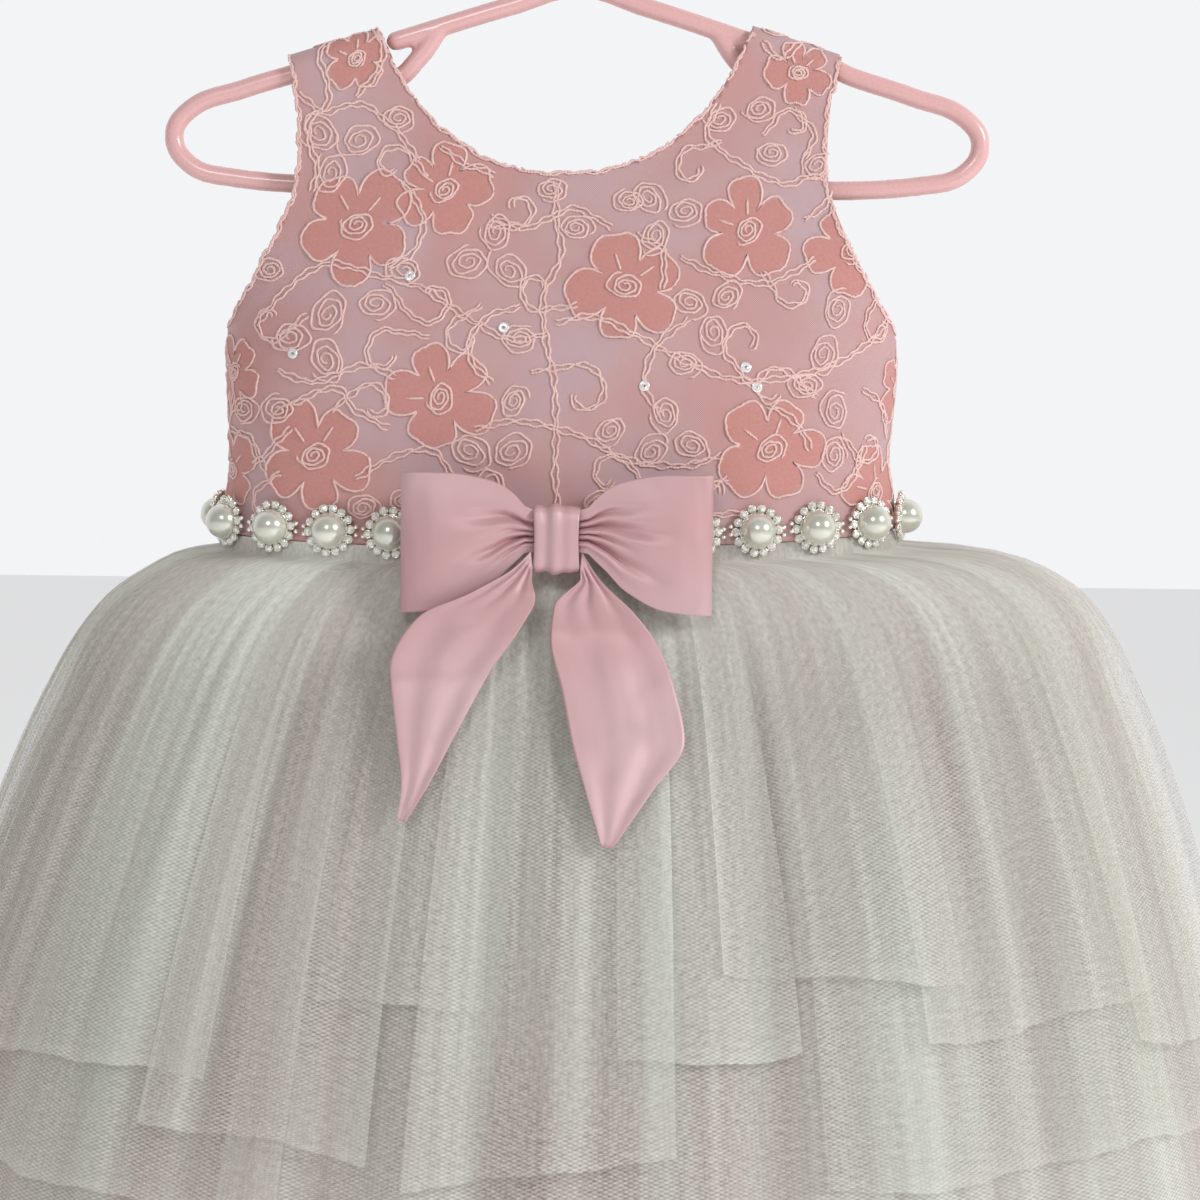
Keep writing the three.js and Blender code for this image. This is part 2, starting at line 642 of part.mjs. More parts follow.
function tailSurface(side) {
  const rows = TAILS[side];
  return (u, v) => {
    const at = clamp(v, 0, 1) * (rows.length - 1);
    const i = Math.min(Math.floor(at), rows.length - 2);
    const edge = (name) => mix(rows[i][name], rows[i + 1][name], at - i);
    const x = DRESS_X + mix(edge("leftX"), edge("rightX"), u);
    const z = BOW.z + mix(edge("leftUp"), edge("rightUp"), u);
    const hang = skirtFront(x, z) + 4.4;
    const wave = 1.3 * smooth(v, 0.3, 0.55) * Math.cos(4 * Math.PI * u);
    const out = Math.max(hang, rowAt(TAIL_OUT[side], "share", v).out) + wave;
    return new THREE.Vector3(x, -out, z);
  };
}
for (const side of ["left", "right"]) {
  const wall = ribbonWall(tailSurface(side));
  add(`bow_tail_${side}`, clothWall(wall, steps(0, 1, 6), steps(0, 1, 14)), MATERIALS.satin);
}

export default dress;
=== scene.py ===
"""A toddler's party dress on a child's hanger: lace bodice, pearl belt, satin bow, tulle skirt."""
import math

import bpy
import numpy as np
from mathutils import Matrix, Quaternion, Vector


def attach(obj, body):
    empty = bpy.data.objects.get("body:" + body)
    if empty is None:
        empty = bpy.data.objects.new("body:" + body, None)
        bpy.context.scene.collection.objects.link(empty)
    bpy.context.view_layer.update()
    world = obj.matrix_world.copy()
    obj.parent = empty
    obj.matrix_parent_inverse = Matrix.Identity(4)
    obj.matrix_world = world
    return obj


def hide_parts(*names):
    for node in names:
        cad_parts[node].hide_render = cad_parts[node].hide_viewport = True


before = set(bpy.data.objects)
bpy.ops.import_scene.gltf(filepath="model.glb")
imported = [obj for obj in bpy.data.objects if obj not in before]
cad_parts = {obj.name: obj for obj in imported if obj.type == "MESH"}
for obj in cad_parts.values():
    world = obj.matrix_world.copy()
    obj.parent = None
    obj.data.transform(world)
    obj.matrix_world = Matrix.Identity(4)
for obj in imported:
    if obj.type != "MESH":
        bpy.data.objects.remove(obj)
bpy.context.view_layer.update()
bpy.ops.object.select_all(action="DESELECT")

# Hanger -------------------------------------------------------------------------------------
# One moulding of round tube in pale pink plastic, glossy, with melted joints where the arms
# divide. The hook stands on the peak and carries everything. Sizes are in millimetres.
HANGER_TUBE = 3.5
PEAK_Z = -62.0
ARM_SLOPE = 0.313
BAR_Z = -132.3
HOOK_RADIUS = 21.5


def moulded_tube(name, points):
    """A round tube through points (x, z), closed at both ends."""
    bpy.ops.object.select_all(action="DESELECT")
    bpy.ops.curve.primitive_bezier_curve_add(enter_editmode=False)
    tube = bpy.context.object
    tube.name = name
    spline = tube.data.splines[0]
    spline.bezier_points.add(len(points) - len(spline.bezier_points))
    for knot, (x, z) in zip(spline.bezier_points, points):
        knot.co = (x * 0.001, 0, z * 0.001)
        knot.handle_left_type = knot.handle_right_type = "AUTO"
    tube.data.bevel_depth = HANGER_TUBE * 0.001
    tube.data.bevel_resolution = 6
    tube.data.resolution_u = 14
    tube.data.use_fill_caps = True
    bpy.ops.object.convert(target="MESH")
    return bpy.context.object


def rounded_end(x, z):
    bpy.ops.object.select_all(action="DESELECT")
    bpy.ops.mesh.primitive_uv_sphere_add(
        segments=24, ring_count=14, radius=HANGER_TUBE * 0.001, location=(x * 0.001, 0, z * 0.001)
    )
    return bpy.context.object


def arm_z(x):
    return PEAK_Z - abs(x) * ARM_SLOPE


strut = [(50, arm_z(50)), (58, -89), (67, -96), (75, -90.5), (83, -87.8), (100, -93.8), (121, -100.4)]
end_turn = [(141, -108.4), (146.3, -117.4), (141, -127.4), (125, BAR_Z)]
half_loop = strut + end_turn
hook_centre = HANGER_TUBE - HOOK_RADIUS
hook_turns = [-38, -8, 22, 52, 82, 112, 142, 172, 198, 222]
hook_line = [(0, PEAK_Z - 0.5), (0, -51), (1.8, -44.5)] + [
    (
        HOOK_RADIUS * math.cos(math.radians(turn)),
        hook_centre + HOOK_RADIUS * math.sin(math.radians(turn)),
    )
    for turn in hook_turns
]
arms = [(-66, arm_z(66)), (-24, arm_z(24)), (0, PEAK_Z - 1), (24, arm_z(24)), (66, arm_z(66))]
lengths = [
    moulded_tube("hanger", arms),
    moulded_tube("loop", [(-x, z) for x, z in half_loop] + [(0, BAR_Z)] + half_loop[::-1]),
    moulded_tube("hook", hook_line),
    rounded_end(-66, arm_z(66)),
    rounded_end(66, arm_z(66)),
    rounded_end(*hook_line[-1]),
]
bpy.ops.object.select_all(action="DESELECT")
for length in lengths:
    length.select_set(True)
hanger = lengths[0]
bpy.context.view_layer.objects.active = hanger
bpy.ops.object.join()
bpy.ops.object.transform_apply(location=True, rotation=True, scale=True)
fuse = hanger.modifiers.new("fuse", "REMESH")
fuse.mode = "VOXEL"
fuse.voxel_size = 0.00095
fuse.use_smooth_shade = True
melt = hanger.modifiers.new("melt", "SMOOTH")
melt.factor = 0.5
melt.iterations = 6
for modifier in ("fuse", "melt"):
    bpy.ops.object.modifier_apply(modifier=modifier)
hanger.name = "hanger_moulding"


def new_material(name, **values):
    """A Principled material with constant values on the shader's own sockets."""
    material = bpy.data.materials.new(name)
    material.use_nodes = True
    shader = material.node_tree.nodes["Principled BSDF"]
    for socket, value in values.items():
        shader.inputs[socket.replace("_", " ")].default_value = value
    return material, material.node_tree, shader


def node(tree, kind, links=(), **settings):
    """One node: settings are its properties, or its inputs where no property has the name."""
    made = tree.nodes.new(kind)
    for key, value in settings.items():
        if hasattr(made, key):
            setattr(made, key, value)
        else:
            made.inputs[key.replace("_", " ")].default_value = value
    for source, socket in links:
        tree.links.new(source, made.inputs[socket])
    return made


def noise(tree, vector, **settings):
    """Cloudy grey values in space."""
    return node(tree, "ShaderNodeTexNoise", [(vector, "Vector")], **settings)


def math_node(tree, operation, first, second=None, clamp=False):
    made = tree.nodes.new("ShaderNodeMath")
    made.operation = operation
    made.use_clamp = clamp
    for socket, value in enumerate((first, second)):
        if value is None:
            continue
        if isinstance(value, (int, float)):
            made.inputs[socket].default_value = value
        else:
            tree.links.new(value, made.inputs[socket])
    return made.outputs[0]


def ramp(tree, value, low, high, low_colour, high_colour):
    """Colour that runs from one to another as value goes from low to high."""
    made = tree.nodes.new("ShaderNodeValToRGB")
    made.color_ramp.elements[0].position = low
    made.color_ramp.elements[1].position = high
    made.color_ramp.elements[0].color = (*low_colour, 1)
    made.color_ramp.elements[1].color = (*high_colour, 1)
    tree.links.new(value, made.inputs["Fac"])
    return made.outputs["Color"]


def bump(tree, shader, height, distance, strength=1.0):
    """Fine relief on the shader's normal. Distance is in metres."""
    made = node(tree, "ShaderNodeBump", [(height, "Height")], Strength=strength, Distance=distance)
    tree.links.new(made.outputs["Normal"], shader.inputs["Normal"])


plastic, tree, shader = new_material("pink_moulded_plastic", Coat_Weight=0.25, Coat_Roughness=0.12)
place = node(tree, "ShaderNodeTexCoord")
cloudy = noise(tree, place.outputs["Object"], Scale=14.0, Detail=1.0)
tint = ramp(tree, cloudy.outputs["Fac"], 0.3, 0.75, (0.74, 0.42, 0.41), (0.78, 0.46, 0.45))
tree.links.new(tint, shader.inputs["Base Color"])
scuffs = noise(tree, place.outputs["Object"], Scale=900.0, Detail=4.0)
worn = node(tree, "ShaderNodeMapRange", [(scuffs.outputs["Fac"], "Value")], To_Min=0.2, To_Max=0.36)
tree.links.new(worn.outputs["Result"], shader.inputs["Roughness"])
bump(tree, shader, cloudy.outputs["Fac"], 0.0004, 0.35)
hanger.data.materials.clear()
hanger.data.materials.append(plastic)
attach(hanger, "root")
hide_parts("hanger")

# Bodice -------------------------------------------------------------------------------------
# Three panels of pink satin under an embroidered organza overlay: a front, and two backs that
# close down the centre. Both straps fold over the hanger, where the shoulder seam lies.
DRESS_X = -5.0
WAIST_Z = -256.0
WAIST_DIP = 5.0
SQUARE = 0.4
FOLD = 6.3
FOLD_SHARE = 0.1
FOLD_LENGTH = FOLD * math.pi / 2
BODICE_WALL = 0.0012
BODICE = np.array(
    [  # height above the waist seam, half the width, depth of the front, depth of the back
        (0, 124, 38, 34),
        (28, 121.5, 37, 33),
        (60, 122, 34, 31),
        (75, 122, 31, 28.5),
        (103, 126, 22.5, 21),
        (126, 134, 15.5, 15),
        (146, 142, 9.8, 9.8),
        (163, 150, 7, 7),
        (200, 150, 7, 7),
    ]
)


def through(table, column, at):
    """A smooth curve through the rows of a table, which never overshoots them."""
    xs, ys = table[:, 0], table[:, column]
    rise = np.diff(ys) / np.diff(xs)
    lead, trail = np.concatenate([rise[:1], rise]), np.concatenate([rise, rise[-1:]])
    both = lead * trail > 0
    slope = np.where(both, 2 * lead * trail / np.where(both, lead + trail, 1), 0)
    at = np.clip(np.asarray(at, float), xs[0], xs[-1])
    i = np.clip(np.searchsorted(xs, at, side="right") - 1, 0, len(xs) - 2)
    width = xs[i + 1] - xs[i]
    t = (at - xs[i]) / width
    jump = ys[i + 1] - ys[i]
    return (
        ys[i]
        + t * width * slope[i]
        + t**2 * (3 * jump - width * (2 * slope[i] + slope[i + 1]))
        + t**3 * (width * (slope[i] + slope[i + 1]) - 2 * jump)
    )


def smooth(x, low, high):
    t = np.clip((np.asarray(x, float) - low) / (high - low), 0, 1)
    return t * t * (3 - 2 * t)


def oval(phi, right, left, front, back, square, z):
    """A point of an oval, phi from the centre front towards +X."""
    s, c = np.sin(phi), np.cos(phi)
    half = np.where(s >= 0, right, left)
    depth = np.where(c >= 0, front, back)
    return np.stack([DRESS_X + half * s, -depth * c * (1 + square * s * s), z + 0 * s], -1)


def waist_z(phi):
    """Height of the waist seam, which sags at the front and sits a little low on the left."""
    return WAIST_Z - (WAIST_DIP + 2.2) * (0.5 + 0.5 * np.cos(phi)) ** 2 + 1.8 * np.sin(phi)


def strap_top(x):
    out = np.clip(np.abs(x), 50, 112)
    return -75.5 - (out - 69) * ARM_SLOPE - 2.6 * smooth(-x, 20, 60)


def bodice_point(phi, v):
    """The outside of the bodice. v is 0 on top of the strap, 1 at the waist seam."""
    phi, v = np.broadcast_arrays(np.asarray(phi, float), np.asarray(v, float))
    fold_z = strap_top(150 * np.sin(phi)) - FOLD
    turn = np.clip(v / FOLD_SHARE, 0, 1) * math.pi / 2
    foot = waist_z(phi)
    on_fold = v < FOLD_SHARE
    z = fold_z + (foot - fold_z) * np.clip((v - FOLD_SHARE) / (1 - FOLD_SHARE), 0, 1)
    half, front, back = (through(BODICE, column, z - foot) for column in (1, 2, 3))
    thin = np.maximum(7 * np.sin(turn), 0.15)
    z = np.where(on_fold, fold_z + FOLD * np.cos(turn), z)
    front, back = np.where(on_fold, thin, front), np.where(on_fold, thin, back)
    half = np.where(on_fold, 150, half)
    return oval(phi, half, half, front, back, SQUARE, z)


def neck_edge(x, depth):
    x = np.abs(x)
    a = (96 - np.sqrt(np.maximum(96**2 - 112 * x, 0))) / 56
    scoop = depth + (-76 - depth) * a * a
    return np.where(x > 74, 1e3, np.where(x > 68, -76 + (x - 68) * 26 / 6, scoop))


def arm_edge(z):
    top = 99.5 + (z + 86) * 3.5 / 26
    t = (52 - np.sqrt(np.maximum(2704 + 16 * (86 + z), 0))) / 8
    upper = (1 - t) ** 2 * 99.5 + 2 * t * (1 - t) * 93.5 + t * t * 95.5
    t = (-36 + np.sqrt(np.maximum(1296 - 68 * (134 + z), 0))) / 34
    lower = (1 - t) ** 2 * 95.5 + 2 * t * (1 - t) * 99 + t * t * 122.5
    edge = np.where(z > -86, top, np.where(z > -134, upper, lower))
    return np.where(z < -187, 1e3, edge)


def cloth_left(point, neck_depth):
    """How far a point of the bodice is inside the cut edges of neck and armholes."""
    x, z = point[..., 0] - DRESS_X, point[..., 2]
    return np.minimum(neck_edge(x, neck_depth) - z, arm_edge(z) - np.abs(x))


def grid_faces(rows, columns, wrap=False):
    i, j = np.meshgrid(np.arange(rows - 1), np.arange(columns - (not wrap)), indexing="ij")
    k = (j + 1) % columns
    corners = [i * columns + j, (i + 1) * columns + j, (i + 1) * columns + k, i * columns + k]
    return np.stack(corners, -1).reshape(-1, 4)


def grid_normals(points, wrap=False):
    down = np.gradient(points, axis=0)
    if wrap:
        along = np.roll(points, -1, axis=1) - np.roll(points, 1, axis=1)
    else:
        along = np.gradient(points, axis=1)
    normal = np.cross(down, along)
    return normal / np.maximum(np.linalg.norm(normal, axis=-1, keepdims=True), 1e-9)


def cloth_mesh(name, points, faces, cut, **marks):
    """A mesh from points in millimetres, with cut as its UV map and marks as attributes."""
    mesh = bpy.data.meshes.new(name)
    mesh.vertices.add(len(points))
    mesh.vertices.foreach_set("co", (points * 0.001).astype(np.float32).ravel())
    mesh.loops.add(faces.size)
    mesh.loops.foreach_set("vertex_index", faces.astype(np.int32).ravel())
    mesh.polygons.add(len(faces))
    mesh.polygons.foreach_set("loop_start", np.arange(0, faces.size, faces.shape[1], dtype=np.int32))
    layer = mesh.uv_layers.new(name="cut")
    layer.data.foreach_set("uv", (cut[faces.ravel()] * 0.001).astype(np.float32).ravel())
    for mark, values in marks.items():
        mesh.attributes.new(mark, "FLOAT", "POINT").data.foreach_set("value", values.astype(np.float32))
    mesh.update(calc_edges=True)
    mesh.validate()
    mesh.shade_smooth()
    made = bpy.data.objects.new(name, mesh)
    bpy.context.collection.objects.link(made)
    return made


def give_thickness(piece, thickness, offset=-1.0):
    bpy.ops.object.select_all(action="DESELECT")
    piece.select_set(True)
    bpy.context.view_layer.objects.active = piece
    wall = piece.modifiers.new("wall", "SOLIDIFY")
    wall.thickness = thickness
    wall.offset = offset
    wall.use_even_offset = False
    bpy.ops.object.modifier_apply(modifier="wall")


# Flat layout of one side of the bodice: s runs round it from the centre line, up is height, and
# over the strap's fold it goes on along the cloth.
class Layout:
    def __init__(self, centre):
        self.centre = centre
        self.turns = np.linspace(-math.pi / 2, math.pi / 2, 241)
        self.shares = np.linspace(0, 1, 61)
        grid = bodice_point(centre + self.turns[None, :], self.shares[:, None])
        step = np.linalg.norm(np.diff(grid, axis=1), axis=-1)
        run = np.concatenate([np.zeros((61, 1)), np.cumsum(step, axis=1)], axis=1)
        self.run = run - run[:, 120:121]

    def flat(self, phi, v):
        """Where points of the surface lie on the flat cloth."""
        row = np.clip(v, 0, 1) * 60
        i = np.minimum(row.astype(int), 59)
        column = (phi - self.centre + math.pi / 2) / math.pi * 240
        j = np.clip(column.astype(int), 0, 239)
        a, b = row - i, column - j
        s = (
            self.run[i, j] * (1 - a) * (1 - b)
            + self.run[i + 1, j] * a * (1 - b)
            + self.run[i, j + 1] * (1 - a) * b
            + self.run[i + 1, j + 1] * a * b
        )
        fold_z = strap_top(150 * np.sin(phi)) - FOLD
        z = fold_z + (waist_z(phi) - fold_z) * (v - FOLD_SHARE) / (1 - FOLD_SHARE)
        up = np.where(v < FOLD_SHARE, fold_z + (1 - v / FOLD_SHARE) * FOLD_LENGTH, z)
        return s, up

    def surface(self, s, up):
        """The shares phi and v of points of the flat cloth."""
        phi = self.centre + np.clip(s / 150, -1.5, 1.5)
        v = np.full_like(phi, 0.5)
        for _ in range(5):
            fold_z = strap_top(150 * np.sin(phi)) - FOLD
            below = FOLD_SHARE + (1 - FOLD_SHARE) * (fold_z - up) / (fold_z - waist_z(phi))
            above = FOLD_SHARE * (1 - (up - fold_z) / FOLD_LENGTH)
            v = np.clip(np.where(up < fold_z, below, above), 0, 1)
            i = np.minimum((v * 60).astype(int), 59)
            a = v * 60 - i
            turn = [
                np.interp(along, self.run[row] * (1 - share) + self.run[row + 1] * share, self.turns)
                for along, row, share in zip(s, i, a)
            ]
            phi = self.centre + np.array(turn)
        return phi, v


front_layout, back_layout = Layout(0.0), Layout(math.pi)

# Embroidery: what is stitched, set out on the flat front. Flowers are filled with darker cloth;
# the rest is paired cord. x is along the cloth from the centre line and z is height.
FLOWERS = [  # x, z, radius, turn, petals
    (-74, -150, 21, 14, 5),
    (-42, -137, 17, 40, 5),
    (23, -171, 20, 0, 5),
    (-42, -211, 19, 75, 5),
    (-87, -232, 20, 20, 5),
    (67, -150, 18, 55, 5),
    (75, -228, 19, 35, 5),
    (106, -157, 17, 15, 5),
    (118, -243, 16, 60, 5),
    (86, -93, 12, 5, 5),
    (-76, -90, 12, 50, 5),
    (-126, -238, 15, 0, 5),
    (-124, -203, 14, 20, 5),
    (132, -206, 13, 40, 5),
]
ROSETTES = [  # x, z, radius of each ring, turn of the group, how many
    (-83, -122, 7.4, 20, 3),
    (-60, -111, 6.4, 0, 1),
    (-25, -160, 7.0, 80, 3),
    (36, -145, 6.6, 10, 3),
    (-88, -190, 7.6, 60, 3),
    (-24, -234, 7.0, 30, 3),
    (39, -224, 6.8, 100, 3),
    (53, -179, 6.4, 40, 3),
    (97, -186, 7.0, 70, 2),
    (64, -108, 6.2, 15, 2),
    (-109, -216, 6.4, 0, 2),
    (5, -150, 5.6, 0, 1),
    (44, -198, 5.8, 0, 1),
    (93, -126, 6, 30, 1),
    (99, -222, 6.4, 90, 2),
    (-62, -249, 6, 10, 2),
    (-90, -78, 5.6, 0, 1),
    (78, -75, 5.6, 0, 1),
    (-14, -190, 6.0, 0, 1),
    (133, -176, 6, 0, 2),
    (-138, -217, 6, 0, 1),
    (42, -252, 6, 0, 1),
    (-66, -178, 6.4, 0, 1),
    (18, -222, 5.6, 40, 1),
    (-106, -166, 6.0, 0, 1),
    (88, -205, 6.0, 0, 1),
    (-56, -166, 6.2, 0, 1),
    (-4, -136, 5.8, 0, 1),
    (76, -122, 5.4, 0, 1),
    (-102, -128, 5.4, 0, 1),
    (24, -140, 5.2, 0, 1),
    (14, -248, 6.0, 30, 1),
    (-16, -212, 5.6, 60, 1),
    (-34, -250, 6.0, 60, 1),
]
CURLS = [  # x, z, size, turn, sense
    (-46, -176, 9.5, 200, 1),
    (8, -209, 10.5, 120, -1),
    (-62, -196, 9, 60, 1),
    (66, -190, 8.5, 240, -1),
    (76, -207, 8.5, 30, 1),
    (-8, -172, 8, 300, -1),
    (-66, -214, 8, 150, -1),
    (47, -128, 7.5, 80, 1),
    (-106, -184, 8, 330, -1),
    (18, -238, 8, 20, 1),
    (84, -171, 7, 190, 1),
    (-16, -143, 7, 250, 1),
    (56, -244, 7.5, 300, -1),
    (-106, -250, 7, 100, 1),
    (114, -226, 7, 200, 1),
    (-62, -128, 7.5, 20, 1),
    (118, -184, 7.5, 120, 1),
    (84, -112, 6.5, 160, -1),
    (-34, -190, 7, 100, 1),
]
VINES = [  # points (x, z) of each long double cord
    [(-98, -102), (-88, -109), (-74, -106), (-60, -116), (-52, -127)],
    [(-112, -186), (-98, -172), (-84, -164), (-66, -168)]
    + [(-50, -172), (-34, -182), (-18, -190), (-4, -188)],
    [(-2, -133), (-2, -147), (0, -160), (-6, -174), (-5, -190)]
    + [(-2, -204), (-1, -222), (-1, -240), (2, -258)],
    [(104, -132), (92, -130), (80, -133), (64, -126), (52, -116), (56, -104)],
    [(126, -178), (112, -190), (97, -198), (78, -203), (60, -203)]
    + [(42, -196), (26, -188), (12, -182), (-2, -184)],
    [(-102, -202), (-88, -206), (-70, -200), (-58, -204)],
    [(-30, -222), (-14, -219), (8, -224), (24, -232), (44, -234), (58, -230)],
    [(-26, -146), (-12, -150), (4, -143), (18, -150)],
    [(42, -160), (56, -166), (74, -169), (92, -160)],
    [(-72, -240), (-58, -232), (-44, -230), (-34, -243), (-16, -254)],
    [(92, -236), (100, -243), (108, -236), (112, -226)],
    [(-134, -190), (-124, -210), (-128, -222), (-114, -226), (-106, -238)],
    [(84, -106), (92, -115), (88, -124)],
    [(138, -188), (132, -200), (136, -218), (128, -230), (134, -246)],
    [(-92, -138), (-90, -130), (-94, -114), (-86, -104), (-90, -88), (-84, -78)],
    [(-24, -206), (-32, -196), (-28, -184), (-14, -178)],
    [(26, -152), (36, -158), (36, -172)],
    [(-58, -134), (-50, -146), (-52, -158), (-62, -166)],
    [(-60, -222), (-72, -216), (-80, -208), (-96, -214)],
    [(60, -238), (46, -244), (30, -243), (18, -250)],
    [(88, -146), (96, -140), (102, -130)],
    [(74, -212), (84, -218), (90, -228)],
    [(72, -82), (80, -88), (90, -78), (96, -84)],
    [(-70, -76), (-66, -90), (-76, -104)],
    [(-96, -222), (-104, -230), (-112, -236)],
    [(46, -182), (34, -192), (30, -206), (36, -216)],
    [(-44, -121), (-36, -127), (-24, -131)],
    [(110, -206), (120, -212), (126, -224)],
]


def spline(points, spacing=0.9):
    """Even points on a smooth curve through the given ones."""
    p = np.array(points, float)
    if len(p) < 3:
        p = np.array([p[0], p.mean(0), p[-1]])
    p = np.vstack([2 * p[0] - p[1], p, 2 * p[-1] - p[-2]])
    t = np.linspace(0, 1, 16, endpoint=False)[:, None]
    runs = [
        0.5
        * (
            2 * p[i]
            + (p[i + 1] - p[i - 1]) * t
            + (2 * p[i - 1] - 5 * p[i] + 4 * p[i + 1] - p[i + 2]) * t**2
            + (3 * p[i] - p[i - 1] - 3 * p[i + 1] + p[i + 2]) * t**3
        )
        for i in range(1, len(p) - 2)
    ]
    curve = np.vstack([*runs, p[-2:-1]])
    run = np.concatenate([[0], np.cumsum(np.linalg.norm(np.diff(curve, axis=0), axis=1))])
    even = np.linspace(0, run[-1], max(int(run[-1] / spacing), 3) + 1)
    return np.stack([np.interp(even, run, curve[:, k]) for k in (0, 1)], -1)


def paired(points, apart, rng):
    """Two cords side by side that stray a little and touch here and there."""
    curve = spline(points)
    along = np.gradient(curve, axis=0)
    along /= np.linalg.norm(along, axis=1, keepdims=True)
    across = np.stack([-along[:, 1], along[:, 0]], -1)
    run = np.arange(len(curve)) * 0.9
    cords = []
    for side in (-1, 1):
        phase = rng.uniform(0, 6.28, 2)
        stray = 0.34 * np.sin(run / 1.9 + phase[0]) + 0.3 * np.sin(run / 0.83 + phase[1])
        cords.append(curve + across * (side * apart / 2 + stray)[:, None])
    return cords


def flower_edge(theta, radius, turn, petals):
    """How far out a flower's edge is, in each direction from its middle. No two petals match."""
    around = (theta - math.radians(turn)) / (2 * math.pi) % 1 * petals
    around = around + 0.16 * np.sin(2 * math.pi * around / petals + radius)
    which = np.floor(around).astype(int) % petals
    lengths = 1 + 0.13 * np.sin(2.4 * np.arange(petals) + 3 * radius + turn)
    across = np.abs(2 * (around - np.floor(around)) - 1)
    lobe = (1 - across**3.2) ** 0.62
    return radius * (0.44 + 0.56 * lobe * lengths[which])


def embroidery(rng):
    """All cords of one side, as flat curves."""
    cords = []
    for vine in VINES:
        cords += paired(vine, 1.5, rng)
    for x, z, radius, turn, petals in FLOWERS:
        theta = np.linspace(0, 2 * math.pi, int(radius * 9))
        frayed = 0.5 * np.sin(theta * 11 + x) + rng.normal(0, 0.1, len(theta))
        edge = flower_edge(theta, radius, turn, petals) + frayed
        edge[-1] = edge[0]
        cords.append(np.stack([x + edge * np.cos(theta), z + edge * np.sin(theta)], -1))
        for petal in range(2):
            vein = math.radians(turn + 360 * (petal + 0.5) / petals)
            inner, outer = 0.3 * radius, 0.62 * radius
            ends = [(x + r * math.cos(vein), z + r * math.sin(vein)) for r in (inner, outer)]
            cords.append(spline(ends))
        cords.append(whorl(x, z, 0.34 * radius, turn, 3.1, rng))
    for x, z, radius, turn, count in ROSETTES:
        reach = radius * 1.22 if count > 1 else 0
        for k in range(count):
            angle = math.radians(turn + 360 * k / count)
            middle = (x + reach * math.cos(angle), z + reach * math.sin(angle))
            cords.append(whorl(*middle, radius * rng.uniform(1.05, 1.25), math.degrees(angle), 3.2, rng))
    for x, z, size, turn, sense in CURLS:
        bend = np.linspace(0, 1, 26)
        angle = math.radians(turn) + sense * bend * 5.2
        reach = size * (1.05 - 0.78 * bend)
        start = math.radians(turn - sense * 38)
        tail = [(x + size * 1.9 * math.cos(start), z + size * 1.9 * math.sin(start))]
        curl = list(zip(x + reach * np.cos(angle), z + reach * np.sin(angle)))
        cords += paired(tail + curl, 1.3, rng)
    return cords


def whorl(x, z, radius, turn, turns, rng):
    """A small oval round of cord, wound inwards by hand."""
    angle = np.linspace(0, turns * 2 * math.pi, int(turns * radius * 4.2))
    shrink = 1 - 0.86 * (angle / angle[-1]) ** 0.9
    phase = rng.uniform(0, 6.28, 3)
    wobble = 1 + 0.07 * np.sin(1.3 * angle + phase[0]) + 0.06 * np.sin(2.6 * angle + phase[1])
    wobble += 0.045 * np.sin(5.7 * angle + phase[0] + phase[1])
    reach = radius * shrink * wobble
    long, short = reach * np.cos(angle + phase[2]), 0.74 * reach * np.sin(angle + phase[2])
    c, s = math.cos(math.radians(turn)), math.sin(math.radians(turn))
    return np.stack([x + long * c - short * s, z + long * s + short * c], -1)


def petal_mask(s, up, mirror=1):
    """1 where a flower's darker cloth is under the cords, 0 outside."""
    mask = np.zeros_like(s)
    for x, z, radius, turn, petals in FLOWERS:
        dx, dz = s * mirror - x, up - z
        r = np.hypot(dx, dz)
        near = r < radius * 1.15
        edge = flower_edge(np.arctan2(dz[near], dx[near]), radius, turn, petals)
        mask[near] = np.maximum(mask[near], smooth(edge - r[near], -0.5, 0.7))
    return mask


def cloth_lift(s, up, petals):
    """Soft dents of the cloth, and the thickness of the petals, out from the plain surface."""
    dents = 0.5 * np.sin(s / 23 + up / 31) * np.sin(up / 17 - s / 41)
    dents = dents + 0.25 * np.sin(s / 9 + 2 * np.sin(up / 13))
    return 0.3 * petals + dents * smooth(-up, 95, 130) - 0.4


